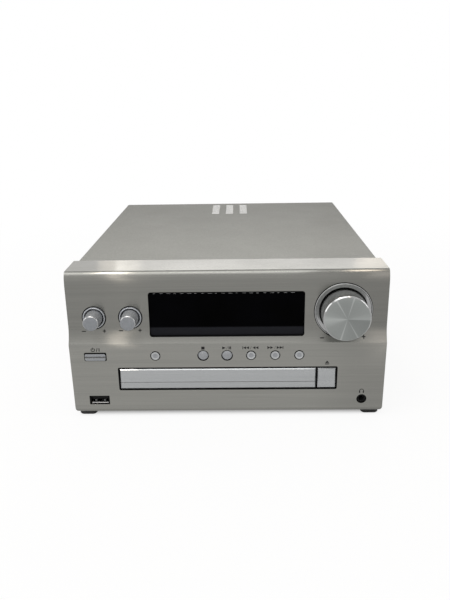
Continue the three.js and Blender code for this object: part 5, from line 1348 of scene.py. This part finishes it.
# %% The headphone jack
# The plastic body stands behind the panel, round the barrel. A sprung ring inside the bore is the contact.
JACK_BORE = 1.8
JACK_END = jack_high.y - 1.2
JACK_BODY_FRONT = 7.6
CONTACT_INNER = 1.45
CONTACT_OUTER = 1.78
CONTACT_FRONT = jack_low.y + 3
CONTACT_REAR = jack_low.y + 4.2
jack_middle = (JACK[0], 0, JACK[1])
barrel_outline = [
    (0, JACK_END), (JACK_BORE, JACK_END), (JACK_BORE, jack_low.y + 0.4),
    (2.1, jack_low.y + 0.05), (2.3, jack_low.y), (2.75, jack_low.y), (3.0, jack_low.y + 0.1),
    (JACK[2], jack_low.y + 0.4), (JACK[2], jack_high.y), (0, jack_high.y),
]
contact_outline = [
    (CONTACT_INNER, CONTACT_FRONT), (CONTACT_OUTER, CONTACT_FRONT), (CONTACT_OUTER, CONTACT_REAR),
    (CONTACT_INNER, CONTACT_REAR), (CONTACT_INNER, CONTACT_FRONT),
]


def jack_body(bm):
    brick(bm, (jack_low.x, JACK_BODY_FRONT, jack_low.z), jack_high)


def jack_body_hole(bm):
    turned(bm, rod(JACK[2] + 0.05, 6, jack_high.y + 1), jack_middle, sides=48)


piece(
    "jack_barrel", solid(turned, barrel_outline, jack_middle, "y", 64),
    black_and_painted_shade, "case", ["headphone_jack"],
)
body_mesh = carve(solid(jack_body), solid(jack_body_hole))
piece("jack_body", body_mesh, black_plastic, "case", edge=0.3)
contact_mesh = solid(turned, contact_outline, jack_middle, "y", 48)
piece("jack_contact", contact_mesh, chrome, "case")
print("sockets made")

# %% [markdown]
# ## Printed marks
# The signs beside the controls are ink on the metal: plus and minus at the ends of each knob's sweep,
# and the usual signs for stop, play, pause, skip, eject, power and headphones. Each is a flat outline
# that follows the panel's face, laid a few hundredths of a millimetre over it.

# %% Ink outlines
INK_LIFT = 0.03
INK_DEPTH = 0.1


def ink_patch(bm, outline):
    """A patch of ink on the panel's face: front and back follow the face at each corner's height."""
    fronts = [bm.verts.new(spot(x, face_at(z) - INK_LIFT, z)) for x, z in outline]
    backs = [bm.verts.new(spot(x, face_at(z) + INK_DEPTH, z)) for x, z in outline]
    bm.faces.new(fronts)
    bm.faces.new(backs[::-1])
    for k in range(len(outline)):
        after = (k + 1) % len(outline)
        bm.faces.new([fronts[k], backs[k], backs[after], fronts[after]])


def bar(cx, cz, wide, tall):
    """An upright rectangle about its middle."""
    return [
        (cx - wide / 2, cz - tall / 2), (cx + wide / 2, cz - tall / 2),
        (cx + wide / 2, cz + tall / 2), (cx - wide / 2, cz + tall / 2),
    ]


def wedge(cx, cz, wide, tall):
    """A triangle that points right for a positive width and left for a negative one."""
    return [(cx - wide / 2, cz - tall / 2), (cx + wide / 2, cz), (cx - wide / 2, cz + tall / 2)]


def slash(left, low, thick, lean, tall):
    """A leaning line that starts at its lower left corner."""
    top = low + tall
    return [(left, low), (left + thick, low), (left + lean + thick, top), (left + lean, top)]


def hoop(cx, cz, outer, inner, start, end, steps=20):
    """A part of a ring, from one quarter turn to another."""
    return arc((cx, cz), outer, start, end, steps) + arc((cx, cz), inner, start, end, steps)[::-1]


def plus(cx, cz, size, line):
    """A cross of two equal bars, as one outline."""
    half, thin = size / 2, line / 2
    return [
        (cx - half, cz - thin), (cx - thin, cz - thin), (cx - thin, cz - half), (cx + thin, cz - half),
        (cx + thin, cz - thin), (cx + half, cz - thin), (cx + half, cz + thin), (cx + thin, cz + thin),
        (cx + thin, cz + half), (cx - thin, cz + half), (cx - thin, cz + thin), (cx - half, cz + thin),
    ]


# %% Print the signs
SIGN_ROW = 51.9
SIGN_HEIGHT = 2.1
SIGN_LINE = 0.6
SLASH_TALL = 1.9
EJECT_SIGN = 66.7
POWER_SIGN = (-89.6, 51.1)
PHONES_SIGN = (90.8, 19.2)


def knob_signs(bm):
    """A minus and a plus at the ends of each knob's sweep."""
    for x, z, wide in ((-95.2, 63.2, 2.8), (-70.4, 63.4, 2.8), (62.9, 57.9, 2.7)):
        ink_patch(bm, bar(x, z, wide, SIGN_LINE))
    for x, z, size in ((-81.5, 63.3, 2.2), (-57.7, 63.6, 2.2), (90.3, 58.4, 2.4)):
        ink_patch(bm, plus(x, z, size, SIGN_LINE))


def key_signs(bm):
    """Stop, play and pause, and the two skip signs, over their keys."""
    ink_patch(bm, bar(-KEY_PITCH, SIGN_ROW, 2.2, SIGN_HEIGHT))
    ink_patch(bm, wedge(-2.0, SIGN_ROW, 2.4, SIGN_HEIGHT))
    ink_patch(bm, slash(-0.5, SIGN_ROW - SLASH_TALL / 2, 0.25, 0.8, SLASH_TALL))
    for x in (1.4, 2.4):
        ink_patch(bm, bar(x, SIGN_ROW, 0.62, SIGN_HEIGHT))
    for centre, way in ((15.8, -1), (31.8, 1)):
        for group in (-1, 1):
            middle = centre + group * 3.1
            for pair in (-1, 1):
                ink_patch(bm, wedge(middle + pair * 0.98, SIGN_ROW, way * 1.9, SIGN_HEIGHT))
        ink_patch(bm, bar(centre + way * 5.3, SIGN_ROW, 0.45, SIGN_HEIGHT))
        ink_patch(bm, slash(centre - 0.45, SIGN_ROW - SLASH_TALL / 2, 0.25, 0.65, SLASH_TALL))


def other_signs(bm):
    """Eject, on and standby, and the headphones."""
    x = EJECT_SIGN
    ink_patch(bm, [(x - 1.4, 40.4), (x + 1.4, 40.4), (x, 42.0)])
    ink_patch(bm, bar(x, 39.6, 2.8, SIGN_LINE))
    x, z = POWER_SIGN
    ink_patch(bm, hoop(x, z, 1.45, 0.95, 1.35, 4.65))
    ink_patch(bm, bar(x, z + 0.8, 0.5, 1.7))
    ink_patch(bm, slash(x + 2.0, z - 1.3, 0.5, 0.8, 2.6))
    ink_patch(bm, bar(x + 4.2, z, SIGN_LINE, 2.5))
    x, z = PHONES_SIGN
    ink_patch(bm, hoop(x, z, 1.55, 1.15, 0, 2))
    for side in (-1, 1):
        ink_patch(bm, bar(x + side * 1.3, z - 0.7, 0.75, 1.6))


def signs(bm):
    for draw in (knob_signs, key_signs, other_signs):
        draw(bm)


marks = piece("printed_signs", solid(signs), ink, "case")
print("signs:", len(marks.data.polygons), "faces")

# %% [markdown]
# ## Case cover
# The cover is one sheet folded into three sides. It is drawn as the thin outline of the fold, carried
# from front to rear, and its air slots are cut out. The slots repeat in rows and columns, which is work
# for Geometry Nodes: a grid of points, with a small block at each, makes all the cutters at once. Smaller
# blocks from the same tree, tilted a little, are the pale louvres inside the slots.

# %% Helpers for Geometry Nodes trees
def growth_tree(name, **inputs):
    """A tree whose result is geometry, with inputs of the kinds named. An underscore stands for a space."""
    tree = bpy.data.node_groups.new(name, "GeometryNodeTree")
    tree.interface.new_socket("Geometry", in_out="OUTPUT", socket_type="NodeSocketGeometry")
    for label, kind in inputs.items():
        tree.interface.new_socket(label.replace("_", " "), in_out="INPUT", socket_type=f"NodeSocket{kind}")
    return tree, place_node(tree, "NodeGroupInput"), place_node(tree, "NodeGroupOutput")


def finish_growth(tree, given, result, copies):
    """Ends a tree: makes the copies real, gives them the finish and hands them over."""
    real = place_node(tree, "GeometryNodeRealizeInstances")
    paint = place_node(tree, "GeometryNodeSetMaterial")
    wire(
        tree,
        (copies, (real, "Geometry")),
        ((real, "Geometry"), (paint, "Geometry")),
        ((given, "Finish"), (paint, "Material")),
        ((paint, "Geometry"), (result, "Geometry")),
    )
    return tree


def grown(tree, values, base=None):
    """Runs a Geometry Nodes tree with its inputs set by name and returns the plain mesh."""
    carrier = put("carrier", base or bpy.data.meshes.new("carrier"))
    modifier = carrier.modifiers.new("grow", "NODES")
    modifier.node_group = tree
    for item in tree.interface.items_tree:
        if item.item_type == "SOCKET" and item.in_out == "INPUT" and item.name in values:
            modifier[item.identifier] = values[item.name]
    mesh = modified(carrier)
    bpy.data.objects.remove(carrier)
    return mesh


# %% A tree that sets blocks in rows and columns
def slot_tree():
    tree, given, result = growth_tree(
        "air_slots", Columns="Int", Rows="Int", Column_pitch="Float", Row_pitch="Float",
        Slot_size="Vector", Centre="Vector", Tilt="Vector", Finish="Material",
    )
    steps = [place_node(tree, "ShaderNodeMath", operation="SUBTRACT", inputs={1: 1.0}) for _ in range(2)]
    spans = [place_node(tree, "ShaderNodeMath", operation="MULTIPLY") for _ in range(2)]
    grid = place_node(tree, "GeometryNodeMeshGrid")
    block = place_node(tree, "GeometryNodeMeshCube")
    stamp = place_node(tree, "GeometryNodeInstanceOnPoints")
    shift = place_node(tree, "GeometryNodeTransform")
    for index, (count, pitch, size, amount) in enumerate((
        ("Columns", "Column pitch", "Size X", "Vertices X"),
        ("Rows", "Row pitch", "Size Y", "Vertices Y"),
    )):
        wire(
            tree,
            ((given, count), (steps[index], 0)),
            ((steps[index], 0), (spans[index], 0)),
            ((given, pitch), (spans[index], 1)),
            ((spans[index], 0), (grid, size)),
            ((given, count), (grid, amount)),
        )
    wire(
        tree,
        ((given, "Slot size"), (block, "Size")),
        ((grid, "Mesh"), (stamp, "Points")),
        ((block, "Mesh"), (stamp, "Instance")),
        ((given, "Tilt"), (stamp, "Rotation")),
        ((stamp, "Instances"), (shift, "Geometry")),
        ((given, "Centre"), (shift, "Translation")),
    )
    return finish_growth(tree, given, result, (shift, "Geometry"))


air_slots = slot_tree()
print("tree", air_slots.name, len(air_slots.nodes), "nodes")


# %% Fold the cover and cut its slots
SHEET = 1.0
COVER_BEND = 2.0
SLOT_COLUMNS = 3
SLOT_ROWS = 8
SLOT_COLUMN_PITCH = 12.9
SLOT_PITCH = 5.4
SLOT_SIZE = (6.8, 3.4, 8.0)
SLOT_MARGIN = 10.8
cover_low, cover_high = panel_box("top_cover")


def cover_sheet(bm):
    low, high = cover_low, cover_high
    left_bend = (low.x + COVER_BEND, high.z - COVER_BEND)
    right_bend = (high.x - COVER_BEND, high.z - COVER_BEND)
    inner_bend = COVER_BEND - SHEET
    outer = [(high.x, low.z)] + arc(right_bend, COVER_BEND, 0, 1) + arc(left_bend, COVER_BEND, 1, 2)
    inner = arc(left_bend, inner_bend, 2, 1) + arc(right_bend, inner_bend, 1, 0)
    feet = [(low.x, low.z), (low.x + SHEET, low.z)]
    prism(bm, outer + feet + inner + [(high.x - SHEET, low.z)], (low.y, high.y), "back")


slots_middle = cover_high.y - SLOT_MARGIN - (SLOT_ROWS - 1) * SLOT_PITCH / 2
slot_grid = {
    "Columns": SLOT_COLUMNS,
    "Rows": SLOT_ROWS,
    "Column pitch": SLOT_COLUMN_PITCH * MM,
    "Row pitch": SLOT_PITCH * MM,
}
slot_cutters = grown(air_slots, {
    **slot_grid,
    "Slot size": tuple(length * MM for length in SLOT_SIZE),
    "Centre": tuple(spot(0, slots_middle, cover_high.z)),
    "Finish": cover_paint,
})
cover_mesh = carve(solid(cover_sheet), slot_cutters)
cover = piece("cover", cover_mesh, cover_paint, "case", ["top_cover"], edge=0.15)
print("cover:", len(cover.data.polygons), "faces,", SLOT_COLUMNS * SLOT_ROWS, "slots")

# %% Set a louvre in each slot
LOUVRE_SIZE = (6.7, 3.24, 0.3)
LOUVRE_SINK = 0.42
LOUVRE_TILT = math.radians(8)
louvres = grown(air_slots, {
    **slot_grid,
    "Slot size": tuple(length * MM for length in LOUVRE_SIZE),
    "Centre": tuple(spot(0, slots_middle, cover_high.z - LOUVRE_SINK)),
    "Tilt": (LOUVRE_TILT, 0, 0),
    "Finish": louvre_metal,
})
piece("louvres", louvres, louvre_metal, "case")
print("louvres:", len(louvres.polygons), "faces")

# %% [markdown]
# ## Feet
# Four rubber blocks, rounded in plan and chamfered where they touch the table.

# %% Mould the feet
FOOT_CORNER = 3.0
FOOT_CHAMFER = 0.8


def foot_form(bm, node):
    low, high = panel_box(node)
    levels = ((FOOT_CHAMFER, low.z), (0.0, low.z + FOOT_CHAMFER), (0.0, high.z))
    rows = []
    for inset, height in levels:
        sides = (low.x + inset, high.x - inset, low.y + inset, high.y - inset)
        outline = rounded(*sides, FOOT_CORNER - inset)
        rows.append([bm.verts.new(spot(x, y, height)) for x, y in outline])
    bm.faces.new(rows[0][::-1])
    bm.faces.new(rows[-1])
    for lower, upper in zip(rows, rows[1:]):
        for k in range(len(lower)):
            after = (k + 1) % len(lower)
            bm.faces.new([lower[k], lower[after], upper[after], upper[k]])


for end in ("front", "rear"):
    for side in ("left", "right"):
        node = f"foot_{end}_{side}"
        piece(f"rubber_{end}_{side}", solid(foot_form, node), rubber, "case", [node], edge=0.2)
print("feet made")

# %% [markdown]
# ## Speaker caps
# Each speaker wire is held by a moulded cap that turns on a metal post. A cap is a turned form with a hole
# in its end for a plug, and ribs for the fingers. The ribs repeat round the cap, so a Geometry Nodes tree
# stands a thin rod on each point of a circle.

# %% Turn one cap
CAP_CORE = 4.6
CAP_BORE = 2.35
CAP_HOLE = 1.9
CAP_ROOF = 1.2
CAP_BEVEL = 0.7


def cap_form(bm, node):
    low, high = panel_box(node)
    middle = (low + high) / 2
    outline = [
        (CAP_BORE, low.y), (CAP_CORE, low.y), (CAP_CORE, high.y - CAP_BEVEL), (CAP_CORE - CAP_BEVEL, high.y),
        (CAP_HOLE, high.y), (CAP_HOLE, high.y - CAP_ROOF), (CAP_BORE, high.y - CAP_ROOF), (CAP_BORE, low.y),
    ]
    turned(bm, outline, (middle.x, 0, middle.z), sides=64)


# %% A tree that stands rods round a circle
def rib_tree():
    tree, given, result = growth_tree(
        "ribs_round_cap", Ribs="Int", Cap_radius="Float", Rib_radius="Float", Rib_length="Float",
        Turn="Vector", Centre="Vector", Finish="Material",
    )
    circle = place_node(tree, "GeometryNodeMeshCircle")
    rib = place_node(tree, "GeometryNodeMeshCylinder", inputs={"Vertices": 10})
    stamp = place_node(tree, "GeometryNodeInstanceOnPoints")
    shift = place_node(tree, "GeometryNodeTransform")
    wire(
        tree,
        ((given, "Ribs"), (circle, "Vertices")),
        ((given, "Cap radius"), (circle, "Radius")),
        ((given, "Rib radius"), (rib, "Radius")),
        ((given, "Rib length"), (rib, "Depth")),
        ((circle, "Mesh"), (stamp, "Points")),
        ((rib, "Mesh"), (stamp, "Instance")),
        ((stamp, "Instances"), (shift, "Geometry")),
        ((given, "Turn"), (shift, "Rotation")),
        ((given, "Centre"), (shift, "Translation")),
    )
    return finish_growth(tree, given, result, (shift, "Geometry"))


ribs_round_cap = rib_tree()
print("tree", ribs_round_cap.name, len(ribs_round_cap.nodes), "nodes")


# %% Set the four caps
CAP_RIBS = 20
RIB_RADIUS = 0.42
RIB_SHORT = 0.9
RIB_SINK = 0.03
riders = frame["record"]["behaviour"]["bodies"]
for colour, cap_finish in (("red", red_plastic), ("black", black_plastic)):
    for side in ("left", "right"):
        node = f"speaker_cap_{side}_{colour}"
        body = next(name for name, members in riders.items() if node in members)
        low, high = panel_box(node)
        length = high.y - low.y - 2 * RIB_SHORT
        piece(f"cap_{side}_{colour}", solid(cap_form, node), cap_finish, body, [node])
        ribs = grown(ribs_round_cap, {
            "Ribs": CAP_RIBS,
            "Cap radius": (CAP_CORE - RIB_SINK) * MM,
            "Rib radius": RIB_RADIUS * MM,
            "Rib length": length * MM,
            "Turn": (QUARTER_TURN, 0, 0),
            "Centre": tuple(spot(*((low + high) / 2))),
            "Finish": cap_finish,
        })
        piece(f"ribs_{side}_{colour}", ribs, cap_finish, body)
print("caps: 4, with", CAP_RIBS, "ribs each")

# %% [markdown]
# ## Rear sockets
# The posts under the caps end in bright metal. The sound and aerial sockets are nickel sleeves round a
# coloured insulator, and the mains inlet has two round pins. All of them are turned forms, set over the
# plain barrels and pins of the frame.

# %% Sizes of the rear sockets
SOCKET_ROW = 25.0
SOCKET_FRONT = panel_box("rear_panel")[1].y + 0.6
SOCKET_END = panel_box("rear_sockets")[1].y
SLEEVE_WALL = 0.4
SLEEVE_OVER = 0.35
SLEEVE_LIP = 0.55
CLEAR = 0.02
SOUND = (4.1, 1.75, 3.5)
AERIAL = (4.8, 2.45, 4.2)
# Each socket's place, its sleeve, bore and insulator radius, and its colour.
rear_sockets = {
    "left": (9, *SOUND, white_plastic, "white_plastic"),
    "right": (-8, *SOUND, red_plastic, "red_plastic"),
    "aerial": (-29, *AERIAL, white_plastic, "white_plastic"),
}
PIN_ROW = 27.0
PIN_MIDDLE = -62
PIN_APART = 4.8
PIN_END = panel_box("power_inlet")[1].y - 3.7
PIN_LENGTH = 9.0
PIN_RADIUS = 1.4
print("sockets:", list(rear_sockets), "ending", round(SOCKET_END - SOCKET_FRONT, 2), "mm behind the panel")


# %% Dress the posts, sockets and pins
def post_ends(bm):
    for side in ("left", "right"):
        for colour in ("red", "black"):
            low, high = panel_box(f"speaker_cap_{side}_{colour}")
            middle = (low + high) / 2
            rear = high.y - CAP_ROOF - 0.04
            front = rear - 0.6
            ring = [(0.8, front), (1.75, front), (1.75, rear), (0.8, rear - 0.12), (0.8, front)]
            turned(bm, ring, (middle.x, 0, middle.z), sides=32)


def sleeves(bm):
    for x, radius, *_ in rear_sockets.values():
        inside, outside, mouth = radius + CLEAR, radius + SLEEVE_WALL, radius - SLEEVE_LIP
        over = SOCKET_END + SLEEVE_OVER
        outline = [
            (inside, SOCKET_FRONT), (outside, SOCKET_FRONT), (outside, SOCKET_END - 0.1),
            (radius + 0.15, over), (mouth, over), (mouth, SOCKET_END + CLEAR),
            (inside, SOCKET_END + CLEAR), (inside, SOCKET_FRONT),
        ]
        turned(bm, outline, (x, 0, SOCKET_ROW), sides=64)


def insulator(bm, x, bore, radius):
    root, face = SOCKET_END + CLEAR, SOCKET_END + 0.24
    outline = [
        (bore, root), (radius, root), (radius, face), (bore + 0.3, face), (bore, SOCKET_END + 0.1),
        (bore, root),
    ]
    turned(bm, outline, (x, 0, SOCKET_ROW), sides=48)


def mains_pins(bm):
    root = PIN_END - PIN_LENGTH
    outline = [(0, PIN_END), (0.9, PIN_END), (PIN_RADIUS, PIN_END - 0.7), (PIN_RADIUS, root), (0, root)]
    for side in (-1, 1):
        turned(bm, outline, (PIN_MIDDLE + side * PIN_APART, 0, PIN_ROW), sides=32)


for name, form in (("post_ends", post_ends), ("socket_sleeves", sleeves), ("mains_pins", mains_pins)):
    piece(name, solid(form), bright_steel, "case")
for name, (x, _, bore, radius, ring_finish, slot) in rear_sockets.items():
    piece(f"insulator_{name}", solid(insulator, x, bore, radius), ring_finish, "case")
print("rear sockets dressed:", len(rear_sockets), "and 2 pins")

# %% [markdown]
# ## Screws
# The rear panel and the cover's sides are held by small cross-head screws. One head is modelled once, and
# a Geometry Nodes tree puts a copy at each point of a small mesh, turned the way that the point's own
# attribute says.

# %% One screw head
SCREW_RADIUS = 2.6
CROSS_SIZE = 2.7
CROSS_LINE = 0.64
CROSS_SPAN = (-2.2, -0.75)


def screw_form(bm):
    outline = [
        (0, -1.25), (SCREW_RADIUS * 0.45, -1.2), (SCREW_RADIUS * 0.8, -0.95), (SCREW_RADIUS, -0.45),
        (SCREW_RADIUS, 0.3), (0, 0.3),
    ]
    turned(bm, outline, (0, 0, 0), "z", 28)


def screw_cross(bm):
    prism(bm, plus(0, 0, CROSS_SIZE, CROSS_LINE), CROSS_SPAN, "up")


# %% A tree that sets screws at points
def screw_tree():
    tree, given, result = growth_tree(
        "screws_at_points", Geometry="Geometry", Head="Object", Size="Float", Finish="Material",
    )
    head = place_node(tree, "GeometryNodeObjectInfo", inputs={"As Instance": True})
    aim = place_node(
        tree, "GeometryNodeInputNamedAttribute", data_type="FLOAT_VECTOR", inputs={"Name": "aim"},
    )
    stamp = place_node(tree, "GeometryNodeInstanceOnPoints")
    wire(
        tree,
        ((given, "Geometry"), (stamp, "Points")),
        ((given, "Head"), (head, "Object")),
        ((head, "Geometry"), (stamp, "Instance")),
        ((aim, "Attribute"), (stamp, "Rotation")),
        ((given, "Size"), (stamp, "Scale")),
    )
    return finish_growth(tree, given, result, (stamp, "Instances"))


def points_mesh(places, aims):
    mesh = bpy.data.meshes.new("points")
    mesh.from_pydata([tuple(spot(*place)) for place in places], [], [])
    aim = mesh.attributes.new("aim", "FLOAT_VECTOR", "POINT")
    for item, value in zip(aim.data, aims):
        item.vector = value
    return mesh


screws_at_points = screw_tree()
print("tree", screws_at_points.name, len(screws_at_points.nodes), "nodes")


# %% Set the screws
head_mesh = carve(solid(screw_form), solid(screw_cross))
head_mesh.transform(Matrix.Translation(-spot(0, 0, 0)))
screw_head = put("screw_head", head_mesh)
print("screw head:", len(head_mesh.polygons), "faces")
REAR_SCREWS = (
    (-94, 95), (0, 95), (94, 95), (-94, 13), (94, 13), (-78.5, 27), (-45.5, 27), (-18.5, 12.5), (22, 25),
    (43.5, 60), (93, 60), (-94, 55),
)
SIDE_SCREWS = ((60, 14), (225, 14), (225, 88))
REAR_TWIST = 0.35
SIDE_TWIST = 0.4
rear_y = panel_box("rear_panel")[1].y
rear_screws = [(x, rear_y, z) for x, z in REAR_SCREWS]
side_screws = [(side * cover_high.x, y, z) for side in (-1, 1) for y, z in SIDE_SCREWS]
places = rear_screws + side_screws
aims = [(QUARTER_TURN, REAR_TWIST * k, 0) for k in range(len(rear_screws))]
aims += [(QUARTER_TURN, SIDE_TWIST, math.copysign(QUARTER_TURN, -x)) for x, _, _ in side_screws]
values = {"Head": screw_head, "Size": 1.0, "Finish": bright_steel}
screws = grown(screws_at_points, values, points_mesh(places, aims))
bpy.data.objects.remove(screw_head)
piece("screws", screws, bright_steel, "case")
print("screws:", len(places), "with", len(screws.polygons), "faces")

# %% [markdown]
# ## The stage
# A large pale floor carries the receiver and keeps its soft shadow. Behind it the room is white to the
# camera. Broad lamps hang overhead and stand in front, behind and at both sides, as in a plain product
# studio. Between them small warm lamps make the patches of glow that the brushed metal catches.

# %% Which rays see the white room
def rays_that_see(tree):
    """1 for a camera, glossy or transmission ray, and 0 for the rays that carry light on to the receiver."""
    rays = place_node(tree, "ShaderNodeLightPath")
    first = place_node(tree, "ShaderNodeMath", operation="MAXIMUM")
    second = place_node(tree, "ShaderNodeMath", operation="MAXIMUM")
    wire(
        tree,
        ((rays, "Is Camera Ray"), (first, 0)),
        ((rays, "Is Glossy Ray"), (first, 1)),
        ((first, 0), (second, 0)),
        ((rays, "Is Transmission Ray"), (second, 1)),
    )
    return second


# %% Floor
FLOOR_HALF = 3.0
FOOTPRINT = (0.098, 0.108, 0.0)


def stage_finish():
    """White cloth that glows more the farther it lies from the receiver, so that only the shadow shows."""
    material = bpy.data.materials.new("stage_white")
    material.use_nodes = True
    tree = material.node_tree
    tree.nodes.clear()
    out = place_node(tree, "ShaderNodeOutputMaterial")
    cloth = place_node(tree, "ShaderNodeBsdfDiffuse", inputs={"Color": (0.93, 0.93, 0.93, 1)})
    glow = place_node(tree, "ShaderNodeEmission", inputs={"Color": (1, 1, 1, 1), "Strength": 1.0})
    seen = rays_that_see(tree)
    where = place_node(tree, "ShaderNodeTexCoord")
    mirror = place_node(tree, "ShaderNodeVectorMath", operation="ABSOLUTE")
    outside = place_node(tree, "ShaderNodeVectorMath", operation="SUBTRACT", inputs={1: FOOTPRINT})
    least = place_node(tree, "ShaderNodeVectorMath", operation="MAXIMUM", inputs={1: (0.0, 0.0, 0.0)})
    away = place_node(tree, "ShaderNodeVectorMath", operation="LENGTH")
    near = ease(tree, 0.0, 0.01, 0.15, 0.9)
    fade = ease(tree, 0.02, 0.5, 0.0, 0.1)
    total = place_node(tree, "ShaderNodeMath", operation="ADD")
    share = place_node(tree, "ShaderNodeMath", operation="MULTIPLY")
    mix = place_node(tree, "ShaderNodeMixShader")
    wire(
        tree,
        ((where, "Object"), (mirror, 0)),
        ((mirror, 0), (outside, 0)),
        ((outside, 0), (least, 0)),
        ((least, 0), (away, 0)),
        ((away, "Value"), (near, 0)),
        ((away, "Value"), (fade, 0)),
        ((near, 0), (total, 0)),
        ((fade, 0), (total, 1)),
        ((seen, 0), (share, 0)),
        ((total, 0), (share, 1)),
        ((share, 0), (mix, 0)),
        ((cloth, 0), (mix, 1)),
        ((glow, 0), (mix, 2)),
        ((mix, 0), (out, "Surface")),
    )
    return material


corners = [(x * FLOOR_HALF, y * FLOOR_HALF, 0) for x, y in ((-1, -1), (1, -1), (1, 1), (-1, 1))]
floor_mesh = bpy.data.meshes.new("floor")
floor_mesh.from_pydata(corners, [], [(0, 1, 2, 3)])
floor_mesh.materials.append(stage_finish())
floor = put("floor", floor_mesh)
print("floor", 2 * FLOOR_HALF, "m wide")


# %% The room
def light_room():
    world = bpy.data.worlds.new("room")
    world.use_nodes = True
    bpy.context.scene.world = world
    tree = world.node_tree
    tree.nodes.clear()
    out = place_node(tree, "ShaderNodeOutputWorld")
    room = place_node(tree, "ShaderNodeBackground", inputs={"Color": (0.62, 0.61, 0.6, 1), "Strength": 0.55})
    white = place_node(tree, "ShaderNodeBackground", inputs={"Color": (1, 1, 1, 1), "Strength": 1.0})
    seen = rays_that_see(tree)
    mix = place_node(tree, "ShaderNodeMixShader")
    wire(
        tree,
        ((seen, 0), (mix, 0)),
        ((room, 0), (mix, 1)),
        ((white, 0), (mix, 2)),
        ((mix, 0), (out, "Surface")),
    )


light_room()
print("room:", len(bpy.context.scene.world.node_tree.nodes), "nodes")


# %% Lamps
def lamp(name, place, target, size, power, colour=(1, 1, 1), shape="RECTANGLE"):
    data = bpy.data.lights.new(name, "AREA")
    data.shape = shape
    data.size, data.size_y = size
    data.energy = power
    data.color = colour
    made = put(name, data)
    made.location = place
    made.rotation_euler = (Vector(target) - Vector(place)).to_track_quat("-Z", "Y").to_euler()


# A lamp's name, place, target, size and power, with its colour and shape where it isn't a white oblong.
LAMPS = (
    ("lamp_over", (0.0, 0.3, 1.6), (0, 0.3, 0), (2.6, 1.4), 4),
    ("lamp_front", (0.3, -2.2, 1.0), (0.3, 0, 0.05), (3.2, 1.6), 2),
    ("lamp_seam", (-0.42, -0.78, 1.45), (-0.42, -0.5, 0), (1.3, 1.35), 8.2),
    ("lamp_arc", (-0.16, -0.66, 1.4), (-0.16, -0.12, 0.08), (1.1, 0.16), 1.6),
    ("lamp_right", (1.3, -0.4, 0.62), (0, -0.12, 0.08), (0.2, 0.7), 1.4),
    ("lamp_rear", (0.42, 1.7, 0.92), (0.42, 0, 0.1), (1.76, 0.6), 6.6, (1.0, 0.985, 0.95)),
    ("lamp_rear_left", (-0.86, 1.7, 0.92), (-0.86, 0, 0.1), (0.8, 0.6), 0.9, (1.0, 0.97, 0.93)),
    ("lamp_glow_left", (-0.378, 1.45, 0.6), (-0.378, 0, 0.1), (0.15, 0.3), 0.13, (1.0, 0.9, 0.76), "ELLIPSE"),
    ("lamp_glow_right", (0.44, 1.45, 0.6), (0.44, 0, 0.1), (0.13, 0.3), 0.11, (1.0, 0.84, 0.66), "ELLIPSE"),
    (
        "lamp_bulb_left", (-0.285, -0.42, 1.1), (-0.285, -0.12, 0.1), (0.08, 0.5), 1.1,
        (1.0, 0.9, 0.78), "ELLIPSE",
    ),
    (
        "lamp_bulb_right", (0.295, -0.42, 1.1), (0.295, -0.12, 0.1), (0.08, 0.5), 0.6,
        (1.0, 0.86, 0.72), "ELLIPSE",
    ),
    ("lamp_pane_left", (-0.308, -1.2, 0.6), (-0.308, -0.12, 0.06), (0.04, 1.2), 0.24, (1.0, 0.9, 0.8)),
    ("lamp_pane_right", (0.378, -1.2, 0.6), (0.378, -0.12, 0.06), (0.07, 1.0), 0.18, (1.0, 0.9, 0.84)),
    ("lamp_left", (-1.3, -0.5, 0.6), (0, 0, 0.05), (0.7, 0.9), 4),
)
for settings in LAMPS:
    lamp(*settings)
print("lamps:", len(LAMPS))

# %% View settings
bpy.context.scene.view_settings.view_transform = "Standard"
print("pieces made:", len(made_pieces))
